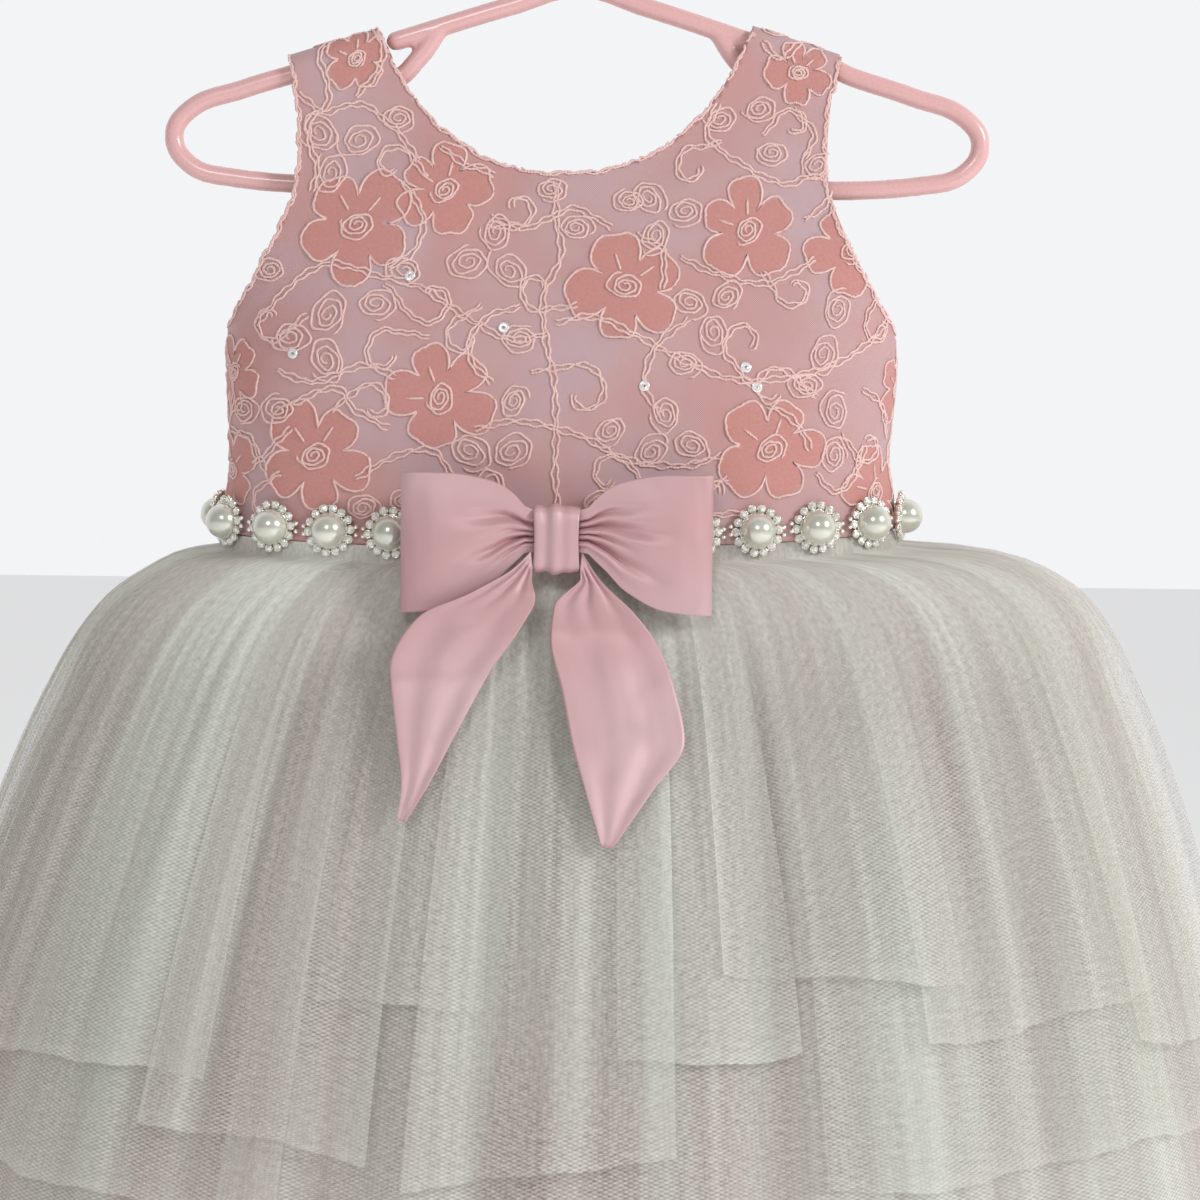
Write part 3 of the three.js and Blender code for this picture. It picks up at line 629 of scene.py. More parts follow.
def bodice_panel(name, layout, start, end, columns, neck_depth, mirror=1):
    """A panel cut from the oval along the neck and armhole edges, on a grid of about 1.5 mm."""
    rows = np.concatenate([np.linspace(0, FOLD_SHARE, 7), np.linspace(FOLD_SHARE, 1, 118)[1:]])
    phi, v = np.meshgrid(np.linspace(start, end, columns), rows)
    kept = cloth_left(bodice_point(phi, v), neck_depth) > 0
    edge = np.zeros_like(kept)
    snapped_phi, snapped_v = phi.copy(), v.copy()
    steps = [(0, 1), (0, -1), (1, 0), (-1, 0), (1, 1), (1, -1), (-1, 1), (-1, -1)]
    for di, dj in steps:
        near = np.zeros_like(kept)
        rows_to = slice(max(-di, 0), kept.shape[0] - max(di, 0))
        rows_from = slice(max(di, 0), kept.shape[0] - max(-di, 0))
        cols_to = slice(max(-dj, 0), kept.shape[1] - max(dj, 0))
        cols_from = slice(max(dj, 0), kept.shape[1] - max(-dj, 0))
        near[rows_to, cols_to] = kept[rows_from, cols_from]
        take = near & ~kept & ~edge
        i, j = np.nonzero(take)
        low, high = np.zeros(len(i)), np.ones(len(i))
        a_phi, a_v = phi[i, j], v[i, j]
        b_phi, b_v = phi[i + di, j + dj], v[i + di, j + dj]
        for _ in range(12):
            mid = (low + high) / 2
            between = bodice_point(a_phi + (b_phi - a_phi) * mid, a_v + (b_v - a_v) * mid)
            inside = cloth_left(between, neck_depth) > 0
            high, low = np.where(inside, mid, high), np.where(inside, low, mid)
        snapped_phi[i, j] = a_phi + (b_phi - a_phi) * high
        snapped_v[i, j] = a_v + (b_v - a_v) * high
        edge |= take
    points = bodice_point(snapped_phi, snapped_v)
    normals = grid_normals(bodice_point(phi, v))
    s, up = layout.flat(snapped_phi.ravel(), snapped_v.ravel())
    petals = petal_mask(s, up, mirror)
    lift = cloth_lift(s, up, petals)
    points = points.reshape(-1, 3) + normals.reshape(-1, 3) * lift[:, None]
    faces = grid_faces(*kept.shape)
    corners = kept.ravel()[faces]
    usable = (kept | edge).ravel()[faces].all(1)
    faces = faces[corners.any(1) & usable]
    used, faces = np.unique(faces, return_inverse=True)
    faces = faces.reshape(-1, 4)
    cut = np.stack([s, up], -1)[used]
    panel = cloth_mesh(name, points[used], faces, cut, petal=petals[used])
    return panel


def cord_mesh(name, layout, curves, neck_depth, keep, radius=0.5, mirror=1):
    """Fine cord couched on the cloth along flat curves, cut off at the panel's edges."""
    points, faces, cut = [], [], []
    count = 0
    for curve in curves:
        s, up = curve[:, 0] * mirror, curve[:, 1]
        phi, v = layout.surface(s, up)
        on = bodice_point(phi, v)
        inside = (cloth_left(on, neck_depth) > -0.9) & keep(s) & (v < 0.998) & (v > 0.002)
        du = bodice_point(phi + 0.003, v) - bodice_point(phi - 0.003, v)
        dv = bodice_point(phi, np.clip(v + 0.003, 0, 1)) - bodice_point(phi, np.clip(v - 0.003, 0, 1))
        normal = np.cross(dv, du)
        normal /= np.maximum(np.linalg.norm(normal, axis=1, keepdims=True), 1e-9)
        on = on + normal * cloth_lift(s, up, petal_mask(s, up, mirror))[:, None]
        for run in np.split(np.arange(len(s)), np.nonzero(np.diff(inside.astype(int)))[0] + 1):
            if len(run) < 4 or not inside[run[0]]:
                continue
            middle, out = on[run], normal[run]
            along = np.gradient(middle, axis=0)
            along /= np.maximum(np.linalg.norm(along, axis=1, keepdims=True), 1e-9)
            side = np.cross(along, out)
            size = radius * (1 + 0.16 * np.sin(np.arange(len(run)) * 2.1))[:, None]
            size[0], size[-1] = 0.3 * radius, 0.3 * radius
            ring = []
            for k in range(4):
                turn = math.pi * k / 2 + 0.3
                up_off = out * (0.2 + 0.75 * size * math.sin(turn))
                ring.append(middle + up_off + side * size * math.cos(turn))
            tube = np.stack(ring, 1)
            i, j = np.meshgrid(np.arange(len(run) - 1), np.arange(4), indexing="ij")
            k = (j + 1) % 4
            quads = np.stack([i * 4 + j, i * 4 + k, (i + 1) * 4 + k, (i + 1) * 4 + j], -1)
            faces.append(quads.reshape(-1, 4) + count)
            points.append(tube.reshape(-1, 3))
            length = np.repeat(np.arange(len(run)) * 0.9, 4)
            cut.append(np.stack([np.tile(np.arange(4) * 0.6, len(run)), length], -1))
            count += tube.shape[0] * 4
    return cloth_mesh(name, np.vstack(points), np.vstack(faces), np.vstack(cut))


def weave_group():
    """Threads crossing at right angles, from a UV map in metres: Height and a 0 to 1 Tone."""
    group = bpy.data.node_groups.new("crossed_threads", "ShaderNodeTree")
    group.interface.new_socket("Vector", in_out="INPUT", socket_type="NodeSocketVector")
    group.interface.new_socket("Pitch", in_out="INPUT", socket_type="NodeSocketFloat")
    group.interface.new_socket("Height", in_out="OUTPUT", socket_type="NodeSocketFloat")
    group.interface.new_socket("Tone", in_out="OUTPUT", socket_type="NodeSocketFloat")
    inside = node(group, "NodeGroupInput")
    outside = node(group, "NodeGroupOutput")
    per_metre = math_node(group, "DIVIDE", 6.2832, inside.outputs["Pitch"])
    parts = node(group, "ShaderNodeSeparateXYZ", [(inside.outputs["Vector"], "Vector")])
    waves = [
        math_node(group, "SINE", math_node(group, "MULTIPLY", parts.outputs[axis], per_metre))
        for axis in ("X", "Y")
    ]
    height = math_node(group, "MULTIPLY", *waves)
    uneven = noise(group, inside.outputs["Vector"], Scale=420.0, Detail=2.0)
    group.links.new(math_node(group, "ADD", height, uneven.outputs["Fac"]), outside.inputs["Height"])
    group.links.new(uneven.outputs["Fac"], outside.inputs["Tone"])
    return group


crossed_threads = weave_group()


def weave_node(tree, vector, pitch):
    made = node(tree, "ShaderNodeGroup", node_tree=crossed_threads)
    tree.links.new(vector, made.inputs["Vector"])
    made.inputs["Pitch"].default_value = pitch
    return made


lace_cloth, tree, shader = new_material("satin_under_organza", Sheen_Weight=0.15, Sheen_Roughness=0.4)
shader.inputs["Sheen Tint"].default_value = (1.0, 0.93, 0.96, 1)
cut_map = node(tree, "ShaderNodeUVMap", uv_map="cut")
# Broad patches run from warm pink to lavender: partly the cloth's uneven tone, partly painted sheen where
# light catches its soft wrinkles.
tone_and_sheen_patches = noise(tree, cut_map.outputs["UV"], Scale=17.0, Detail=2.0, Distortion=0.6)
satin_tone_and_sheen = ramp(tree, tone_and_sheen_patches.outputs["Fac"], 0.36, 0.64, (0.58, 0.305, 0.29), (0.565, 0.385, 0.405))
petal_mark = node(tree, "ShaderNodeAttribute", attribute_name="petal")
stitches = noise(tree, cut_map.outputs["UV"], Scale=900.0, Detail=3.0)
petal_tone = ramp(tree, stitches.outputs["Fac"], 0.3, 0.7, (0.58, 0.25, 0.22), (0.62, 0.29, 0.26))
mixed = node(tree, "ShaderNodeMix", data_type="RGBA")
tree.links.new(petal_mark.outputs["Fac"], mixed.inputs["Factor"])
tree.links.new(satin_tone_and_sheen, mixed.inputs[6])
tree.links.new(petal_tone, mixed.inputs[7])
tree.links.new(mixed.outputs[2], shader.inputs["Base Color"])
weave = weave_node(tree, cut_map.outputs["UV"], 0.0007)
rough = node(tree, "ShaderNodeMapRange", [(petal_mark.outputs["Fac"], "Value")], To_Min=0.42, To_Max=0.7)
tree.links.new(rough.outputs["Result"], shader.inputs["Roughness"])
bump(tree, shader, weave.outputs["Height"], 0.00012, 0.6)

cord_thread, tree, shader = new_material("embroidery_cord", Roughness=0.6, Sheen_Weight=0.3)
cut_map = node(tree, "ShaderNodeUVMap", uv_map="cut")
thread_tone = noise(tree, cut_map.outputs["UV"], Scale=60.0, Detail=2.0)
colour = ramp(tree, thread_tone.outputs["Fac"], 0.35, 0.65, (0.80, 0.51, 0.47), (0.87, 0.61, 0.57))
tree.links.new(colour, shader.inputs["Base Color"])
parts = node(tree, "ShaderNodeSeparateXYZ", [(cut_map.outputs["UV"], "Vector")])
slant = math_node(tree, "MULTIPLY", parts.outputs["Y"], 5200.0)
round_cord = math_node(tree, "MULTIPLY", parts.outputs["X"], 2600.0)
twist = math_node(tree, "SINE", math_node(tree, "ADD", slant, round_cord))
bump(tree, shader, twist, 0.00012, 0.5)

rng = np.random.default_rng(7)
SIDE_GAP = math.radians(0.17)
BACK_GAP = math.radians(0.08)
NECK_FRONT, NECK_BACK = -130.3, -134.0
half_pi = math.pi / 2
panels = {  # name, layout, where it starts and ends, columns, depth of the neck, mirrored or not
    "bodice_front": ("front", front_layout, -half_pi + SIDE_GAP, half_pi - SIDE_GAP, 196, NECK_FRONT, 1),
    "bodice_back_right": (
        "back_right", back_layout, half_pi + SIDE_GAP, math.pi - BACK_GAP, 98, NECK_BACK, -1,
    ),
    "bodice_back_left": (
        "back_left", back_layout, math.pi + BACK_GAP, 3 * half_pi - SIDE_GAP, 98, NECK_BACK, -1,
    ),
}
sides = {"front": lambda s: s < 1e3, "back_right": lambda s: s < -0.7, "back_left": lambda s: s > 0.7}
stitched = {1: embroidery(rng), -1: embroidery(rng)}


def edge_curves(layout, neck_depth):
    """Flat curves that follow the neck and armhole edges, for the whipped cord on them."""
    edges = []
    x = 67.9 * np.sin(np.linspace(-half_pi, half_pi, 260))
    edges.append(np.stack([x, neck_edge(x, neck_depth)], -1))
    z = np.linspace(-79, -186.5, 190)
    for side in (-1, 1):
        edges.append(np.stack([side * arm_edge(z), z], -1))
    curves = []
    for edge in edges:
        out = edge if layout is front_layout else edge * [-1, 1]
        half = through(BODICE, 1, out[:, 1] - waist_z(0))
        phi = layout.centre + np.arcsin(np.clip(out[:, 0] / half, -1, 1))
        foot = waist_z(phi)
        fold_z = strap_top(150 * np.sin(phi)) - FOLD
        v = FOLD_SHARE + (1 - FOLD_SHARE) * (fold_z - out[:, 1]) / (fold_z - foot)
        s, up = layout.flat(phi, np.clip(v, 0, 1))
        run = np.arange(len(s))
        for k in range(2):
            stray = 0.55 * np.sin(run / 1.7 + 2 * k) + 0.4 * np.sin(run / 4.1 + k)
            across = np.gradient(np.stack([s, up], -1), axis=0)
            across = np.stack([-across[:, 1], across[:, 0]], -1)
            across /= np.maximum(np.linalg.norm(across, axis=1, keepdims=True), 1e-9)
            curves.append(np.stack([s, up], -1) + across * stray[:, None])
    return curves


for node_name, (part, layout, start, end, columns, depth, mirror) in panels.items():
    panel = bodice_panel(f"{node_name}_cloth", layout, start, end, columns, depth, mirror)
    curves = stitched[mirror] + [curve * [mirror, 1] for curve in edge_curves(layout, depth)]
    cords = cord_mesh(f"embroidery_{part}", layout, curves, depth, sides[part], mirror=mirror)
    panel.data.materials.append(lace_cloth)
    cords.data.materials.append(cord_thread)
    give_thickness(panel, BODICE_WALL)
    for piece in (panel, cords):
        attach(piece, "root")
    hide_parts(node_name)
    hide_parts(node_name)
    wide, area = (0.30, 0.0405) if part == "front" else (0.15, 0.0205)

sequin_film, tree, shader = new_material("clear_sequin", Metallic=0.3, Coat_Weight=1.0, Coat_Roughness=0.03)
cut_map = node(tree, "ShaderNodeUVMap", uv_map="cut")
spots = noise(tree, cut_map.outputs["UV"], Scale=800.0)
colour = ramp(tree, spots.outputs["Fac"], 0.35, 0.65, (0.86, 0.84, 0.84), (0.98, 0.97, 0.97))
tree.links.new(colour, shader.inputs["Base Color"])
shader.inputs["Roughness"].default_value = 0.12

SEQUINS = np.array([(-54, -168), (66, -199), (70, -206), (-20, -186), (30, -206), (-96, -196)], float)
phi, v = front_layout.surface(SEQUINS[:, 0], SEQUINS[:, 1])
centres = bodice_point(phi, v)
across = bodice_point(phi + 0.003, v) - bodice_point(phi - 0.003, v)
down = bodice_point(phi, v + 0.003) - bodice_point(phi, v - 0.003)
across, down = (way / np.linalg.norm(way, axis=1, keepdims=True) for way in (across, down))
out = np.cross(down, across)
lift = cloth_lift(SEQUINS[:, 0], SEQUINS[:, 1], petal_mask(SEQUINS[:, 0], SEQUINS[:, 1])) + 0.35
turns = np.linspace(0, 2 * math.pi, 25)[:-1]
rows = []
for radius, high in ((1.9, 0.0), (1.7, 0.22), (0.8, 0.1), (0.5, 0.02)):
    ring = across[:, None] * np.cos(turns)[:, None] + down[:, None] * np.sin(turns)[:, None]
    rows.append(centres[:, None] + ring * radius + out[:, None] * (lift + high)[:, None, None])
grid = np.stack(rows, 1)
faces = np.concatenate([grid_faces(4, 24, True) + 96 * k for k in range(len(SEQUINS))])
cut = np.tile(np.stack([np.tile(turns, 4), np.repeat([1.9, 1.7, 0.8, 0.5], 24)], -1), (len(SEQUINS), 1))
sequins = cloth_mesh("sequins_front", grid.reshape(-1, 3), faces, cut)
sequins.data.materials.append(sequin_film)
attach(sequins, "root")
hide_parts("bodice_front")

# Buttons ------------------------------------------------------------------------------------
# Four satin-covered domes in a row down the centre back, sewn on by a shank under each.
BUTTON_RADIUS = 4.5
BUTTON_HIGH = 3.0
BUTTON_TOP = 118
BUTTON_STEP = 32

satin, tree, shader = new_material("pink_satin", Metallic=0.2, Specular_IOR_Level=0.6, Anisotropic=0.4)
cut_map = node(tree, "ShaderNodeUVMap", uv_map="cut")
# The broad lighter and darker patches in the satin's colour are painted sheen, standing in for light on its
# folds.
sheen_patches = noise(tree, cut_map.outputs["UV"], Scale=14.0, Detail=0.0)
tone = ramp(tree, sheen_patches.outputs["Fac"], 0.3, 0.7, (0.60, 0.345, 0.355), (0.67, 0.46, 0.475))
tree.links.new(tone, shader.inputs["Base Color"])
weave = weave_node(tree, cut_map.outputs["UV"], 0.00045)
sheen = node(tree, "ShaderNodeMapRange", [(weave.outputs["Tone"], "Value")], To_Min=0.40, To_Max=0.45)
tree.links.new(sheen.outputs["Result"], shader.inputs["Roughness"])
creases = noise(tree, cut_map.outputs["UV"], Scale=34.0, Detail=0.5, Distortion=1.2)
threads = math_node(tree, "MULTIPLY", weave.outputs["Height"], 0.22)
height = math_node(tree, "ADD", math_node(tree, "MULTIPLY", creases.outputs["Fac"], 24.0), threads)
bump(tree, shader, height, 0.00006, 0.8)

for number in range(4):
    up = BUTTON_TOP - number * BUTTON_STEP
    back = float(through(BODICE, 3, up)) + 0.9
    turns = np.linspace(0, 2 * math.pi, 33)[:-1]
    dome = np.radians([0, 12, 26, 42, 58, 74, 90, 112, 132])
    rows = []
    for angle in dome:
        r, high = BUTTON_RADIUS * np.sin(angle), BUTTON_HIGH * (0.35 + 0.65 * np.cos(angle))
        ring = [DRESS_X + r * np.cos(turns), back + high + 0 * turns, WAIST_Z + up + r * np.sin(turns)]
        rows.append(np.stack(ring, -1))
    grid = np.stack(rows)
    cut = np.stack([grid[..., 0], grid[..., 2]], -1).reshape(-1, 2)
    button = cloth_mesh(f"covered_button_{number + 1}", grid.reshape(-1, 3), grid_faces(9, 32, True), cut)
    button.data.materials.append(satin)
    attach(button, "root")
    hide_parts(f"button_{number + 1}")

# Skirt --------------------------------------------------------------------------------------
# A pink lining, then gathered rings of ivory tulle, then loose strips of it with raw hems. All
# are sewn into the waist seam, hug it under the trim and spring out below.
SKIRT = np.array(
    [  # drop below the seam, half width left, right, depth of the front, of the back, squareness
        (0.3, 123.8, 123.8, 37.8, 33.8, 0.4),
        (5.8, 124.3, 124.5, 38.3, 34.3, 0.4),
        (8, 138, 156, 39.5, 38, 0.38),
        (13, 149, 176, 41.5, 44, 0.36),
        (25, 167, 195, 46, 55, 0.32),
        (50, 187, 212, 57, 71, 0.26),
        (95, 209, 229, 76, 90, 0.2),
        (155, 232, 246, 99, 110, 0.16),
        (225, 254, 262, 122, 130, 0.13),
        (300, 272, 276, 144, 149, 0.1),
        (380, 286, 287, 163, 166, 0.08),
    ]
)
PLY = 1.3  # from layer to layer at the seam


def skirt_base(phi, drop):
    """The skirt's smooth shape before folds, phi round it and drop below the waist seam."""
    left, right, front, back, square = (through(SKIRT, column, drop) for column in range(1, 6))
    return oval(phi, right, left, front, back, square, waist_z(phi) - drop)


turns = np.linspace(-2 * math.pi, 2 * math.pi, 1441)
low_ring = skirt_base(turns, np.full_like(turns, 200.0))
ring_run = np.concatenate([[0], np.cumsum(np.linalg.norm(np.diff(low_ring, axis=0), axis=1))])


def around(phi):
    """How far round the skirt phi is, measured along the cloth 200 mm below the seam."""
    return np.interp(phi, turns, ring_run) - ring_run[720]


ROUND = float(around(2 * math.pi))


def skirt_rows(longest, spacing):
    """Drops at even distances along the side of the skirt."""
    drops = np.linspace(0.3, longest, 800)
    side = np.stack([through(SKIRT, 1, drops), drops], -1)
    run = np.concatenate([[0], np.cumsum(np.linalg.norm(np.diff(side, axis=0), axis=1))])
    return np.interp(np.linspace(0, run[-1], int(run[-1] / spacing)), run, drops)


def ruffle(phi, count, rng, edge=0.5):
    """Uneven folds round the skirt, each of its own height. A small edge makes their sides steep."""
    heights = rng.uniform(-1, 1, count)
    place = around(phi) / ROUND % 1 * count
    i = np.floor(place).astype(int)
    t = smooth(place - i, 0.5 - edge, 0.5 + edge)
    return heights[i % count] * (1 - t) + heights[(i + 1) % count] * t


def streaks(phi, drop, rng):
    """Thin and dense stretches of the tulle, long down the cloth and narrow across it."""
    total = 0
    for count, share, edge in ((14, 0.3, 0.5), (46, 0.34, 0.1), (110, 0.24, 0.16), (420, 0.12, 0.5)):
        lean = rng.uniform(-0.05, 0.05) * smooth(drop, 20, 300)
        upper, lower = ruffle(phi + lean, count, rng, edge), ruffle(phi - 2 * lean, count, rng, edge)
        blend = 0.5 + 0.5 * np.sin(drop / 80 + rng.uniform(0, 6.28))
        total = total + share * (upper * blend + lower * (1 - blend))
    return total


def tulle_layer(
    name, span, hem, step, inset, seed, columns, spacing=5.6, wrap=False, folds=1.0, lean=None, dense=0.45
):
    """One sheet of tulle from the seam to hem(phi), out on the skirt's own shared folds."""
    rng = np.random.default_rng(seed)
    across = np.linspace(*span, columns + 1)[: columns if wrap else None]
    longest = float(np.max(hem(across)))
    drops = skirt_rows(longest, spacing)
    phi, run = np.meshgrid(across, drops)
    drop = run * (1 + (hem(phi) / longest - 1) * smooth(run, 20, longest))
    if lean is not None:
        phi = phi + lean(phi) * smooth(drop, 10, longest)
    base = skirt_base(phi, drop)
    normal = np.cross(
        skirt_base(phi, np.maximum(drop + 1.5, 2)) - skirt_base(phi, np.maximum(drop - 1.5, 0.4)),
        skirt_base(phi + 0.012, drop) - skirt_base(phi - 0.012, drop),
    )
    normal /= np.linalg.norm(normal, axis=-1, keepdims=True)
    opened = smooth(drop, 6, 60)
    common = np.random.default_rng(21)
    shared = ruffle(phi, 48, common) * 3.4 + ruffle(phi, 84, common) * 0.9
    own = ruffle(phi, 130, rng, 0.3) * 1.0 + ruffle(phi, 260, rng) * 0.4
    gathers = ruffle(phi, 520, rng) * 0.6
    open_slow, open_fast = smooth(drop, 12, 130), smooth(drop, 7, 40)
    fading = 1.15 - 0.85 * smooth(drop, 40, 190)
    fold = shared * open_slow + folds * (own * open_slow**0.6 + gathers * open_fast * fading)
    thin = streaks(phi, drop, common) + 0.7 * streaks(phi, drop, rng)
    points = base + normal * (fold - (step * PLY * (1 - opened) + inset * opened))[..., None]
    side = np.gradient(points, axis=1) if not wrap else np.roll(points, -1, 1) - np.roll(points, 1, 1)
    side /= np.maximum(np.linalg.norm(side, axis=-1, keepdims=True), 1e-9)
    steep = np.abs((side * normal).sum(-1))
    count = points.shape[1]
    faces = grid_faces(points.shape[0], count, wrap)
    if wrap:
        seam = points[:, :1]
        points = np.concatenate([points, seam], axis=1)
        steep = np.concatenate([steep, steep[:, :1]], axis=1)
        thin = np.concatenate([thin, thin[:, :1]], axis=1)
        phi = np.concatenate([phi, phi[:, :1] + 2 * math.pi], axis=1)
        drop = np.concatenate([drop, drop[:, :1]], axis=1)
        faces = grid_faces(points.shape[0], count + 1)
    cut = np.stack([around(phi), -drop * 1.1], -1).reshape(-1, 2)
    edge_u = np.minimum(phi - phi[:, :1], phi[:, -1:] - phi) * 240
    edge_v = (longest - run) if not wrap else longest - np.broadcast_to(drops[:, None], drop.shape)
    seam_edge = 1 if wrap else smooth(edge_u, 0, 16)
    rim = np.exp(-np.minimum(edge_u if not wrap else 1e3, edge_v) / 1.2)
    cover = dense + 0.3 * thin + 0.2 * steep + 0.06 * rim + 0.4 * (1 - smooth(drop, 6, 60)) * seam_edge
    tone = (0.5 + 0.5 * thin).ravel()
    holes = (0.24 * smooth(drop, 15, 110)).ravel()
    return cloth_mesh(name, points.reshape(-1, 3), faces, cut, cover=cover.ravel(), tone=tone, holes=holes)


def tulle_material(name, shadow, light):
    """Fine net: how much of each point its threads hide is an attribute of the cloth."""
    material, tree, shader = new_material(name, Roughness=0.85, Specular_IOR_Level=0.15)
    cut_map = node(tree, "ShaderNodeUVMap", uv_map="cut")
    parts = node(tree, "ShaderNodeSeparateXYZ", [(cut_map.outputs["UV"], "Vector")])
    waves = []
    for axis, pitch in (("X", 0.0034), ("Y", 0.0015)):
        phase = math_node(tree, "MULTIPLY", parts.outputs[axis], 6.2832 / pitch)
        waves.append(math_node(tree, "SINE", phase))
    depth = node(tree, "ShaderNodeAttribute", attribute_name="holes")
    holes = math_node(tree, "MULTIPLY", math_node(tree, "MULTIPLY", *waves), depth.outputs["Fac"])
    cover = node(tree, "ShaderNodeAttribute", attribute_name="cover")
    fuzz = noise(tree, cut_map.outputs["UV"], Scale=480.0, Detail=1.0)
    uneven = math_node(tree, "MULTIPLY", math_node(tree, "SUBTRACT", fuzz.outputs["Fac"], 0.5), 0.5)
    total = math_node(tree, "ADD", math_node(tree, "ADD", cover.outputs["Fac"], uneven), holes, clamp=True)
    tree.links.new(total, shader.inputs["Alpha"])
    tone = node(tree, "ShaderNodeAttribute", attribute_name="tone")
    tree.links.new(ramp(tree, tone.outputs["Fac"], 0.25, 0.75, shadow, light), shader.inputs["Base Color"])
    return material


rng = np.random.default_rng(22)

lining_cloth, tree, shader = new_material("pink_lining", Roughness=0.6)
cut_map = node(tree, "ShaderNodeUVMap", uv_map="cut")
weave = weave_node(tree, cut_map.outputs["UV"], 0.0008)
colour = ramp(tree, weave.outputs["Tone"], 0.3, 0.7, (0.68, 0.37, 0.35), (0.75, 0.44, 0.42))
tree.links.new(colour, shader.inputs["Base Color"])
bump(tree, shader, weave.outputs["Height"], 0.0001, 0.4)

close_net = tulle_material("close_net", (0.665, 0.585, 0.55), (0.67, 0.675, 0.605))
open_net = tulle_material("open_net", (0.70, 0.65, 0.595), (0.72, 0.73, 0.655))

full = (-math.pi, math.pi)
def lining_hem(phi):
    return 354 + 0 * phi


def bottom_hem(phi):
    return 374 + 5 * np.sin(5 * phi) + 1.2 * np.sin(31 * phi)


def middle_hem(phi):
    return 276 + 14 * np.sin(3 * phi + 0.6) + 9 * np.sin(7 * phi) + 1.2 * np.sin(41 * phi)


rings = [
    dict(
        node_name="skirt_lining", hem=lining_hem, step=4, inset=35, columns=240, folds=0.5, dense=1.0,
        cloth=lining_cloth, slot="skirt_lining", flat=(1.35, 0.4), area=0.38,
    ),
    dict(
        node_name="skirt_tier_bottom", hem=bottom_hem, step=3, inset=20, columns=680, folds=1.0, dense=0.66,
        cloth=close_net, slot="tulle", flat=(1.5, 0.43), area=0.45,
    ),
    dict(
        node_name="skirt_tier_middle", hem=middle_hem, step=2, inset=13, columns=680, folds=1.0, dense=0.5,
        cloth=close_net, slot="tulle", flat=(1.42, 0.34), area=0.325,
    ),
]
for index, made in enumerate(rings):
    ring = tulle_layer(
        f"{made['node_name']}_cloth", full, made["hem"], made["step"], made["inset"], 40 + index,
        made["columns"], spacing=6.5, wrap=True, folds=made["folds"], dense=made["dense"],
    )
    ring.data.materials.append(made["cloth"])
    if made["cloth"] is lining_cloth:
        give_thickness(ring, 0.0006)
    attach(ring, "root")
    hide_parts(made["node_name"])

COLUMN = math.pi / 22
STRIP_LAP = math.radians(2.4)
STRIPS = [  # first and last fold, hem's drop at each side, layer: 0 is the outer one
    (-4, -2, 192, 200, 0),
    (-2, -1, 150, 153, 0),
    (-1, 1, 207, 200, 0),
    (1, 2, 168, 165, 0),
    (2, 4, 142, 144, 0),
    (4, 7, 164, 158, 0),
    (7, 13, 172, 186, 0),
    (13, 19, 186, 160, 0),
    (19, 26, 166, 190, 0),
    (26, 33, 182, 164, 0),
    (33, 40, 166, 178, 0),
    (-3, 3, 222, 214, 1),
    (3, 9, 210, 204, 1),
    (9, 17, 214, 196, 1),
    (17, 26, 206, 216, 1),
    (26, 34, 210, 200, 1),
    (34, 41, 204, 218, 1),
]
for index, (first, last, start, end, layer) in enumerate(STRIPS):
    name = f"skirt_panel_{index + 1:02d}"
    span = (first * COLUMN - STRIP_LAP, last * COLUMN + STRIP_LAP)
    rag = rng.uniform(0, 6.28, 3)

    def strip_hem(phi, span=span, start=start, end=end, rag=rag):
        share = np.clip((phi - span[0]) / (span[1] - span[0]), 0, 1)
        ragged = 2.0 * np.sin(9 * phi + rag[0]) + 0.9 * np.sin(23 * phi + rag[1])
        return start + (end - start) * share + ragged + 0.3 * np.sin(71 * phi + rag[2])

    slant = rng.uniform(-0.03, 0.03, 2)

    def strip_lean(phi, span=span, slant=slant):
        share = (phi - span[0]) / (span[1] - span[0])
        return slant[0] * (1 - share) + slant[1] * share

    dense = 0.22 if 2 <= first < 13 else 0.36
    inset = (4.0 if layer == 0 else 8.6) + (0.9 if index % 2 else -0.9)
    columns = max(int((around(span[1]) - around(span[0])) / 1.5), 24)
    strip = tulle_layer(
        f"tulle_strip_{index + 1:02d}", span, strip_hem, layer + 0.2 * (index % 2), inset, 60 + index,
        columns, lean=strip_lean, dense=dense,
    )
    strip.data.materials.append(open_net)
    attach(strip, "root")
    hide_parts(name)
    wide = 0.001 * float(around(span[1]) - around(span[0]))
    flat = (round(wide, 3), round(0.001 * max(start, end) + 0.05, 3))
    area = 0.82 * flat[0] * flat[1]

# Waist trim ---------------------------------------------------------------------------------
# Pearl beads, each in a round of clear stones in plated cups, threaded side by side and sewn
# along the waist seam. One motif is made and set at each place.
PEARL_PITCH = 21.6
FIRST_PEARL = 5.8
PEARL_HIDDEN = 40
PEARL_BACK_GAP = 10
PEARL_RADIUS = 6.3
PEARL_RISE = 4.4
STONES = 14


def lathe(profile, segments, centre=(0, 0, 0)):
    """Points and faces of a shape turned about its outward axis, from (radius, out) pairs."""
    turns = np.arange(segments) * 2 * math.pi / segments
    rows = [np.stack([r * np.cos(turns), out + 0 * turns, r * np.sin(turns)], -1) for r, out in profile]
    return np.concatenate(rows) + np.array(centre), grid_faces(len(profile), segments, True)


def joined(parts):
    """All parts as one set of points and faces, with the kind of each face."""
    points, faces, kinds, count = [], [], [], 0
    for kind, (p, f) in parts:
        points.append(p)
        faces.append(f + count)
        kinds.append(np.full(len(f), kind))
        count += len(p)
    return np.vstack(points), np.vstack(faces), np.concatenate(kinds)


def ball(radius, out, segments, rings, centre=(0, 0, 0), low=-90, high=90):
    """A ball, or the part of one between two latitudes, with its middle at out."""
    turns = np.radians(np.linspace(high, low, rings))
    profile = [(max(radius * math.cos(t), 0.01), out + radius * math.sin(t)) for t in turns]
    return lathe(profile, segments, centre)


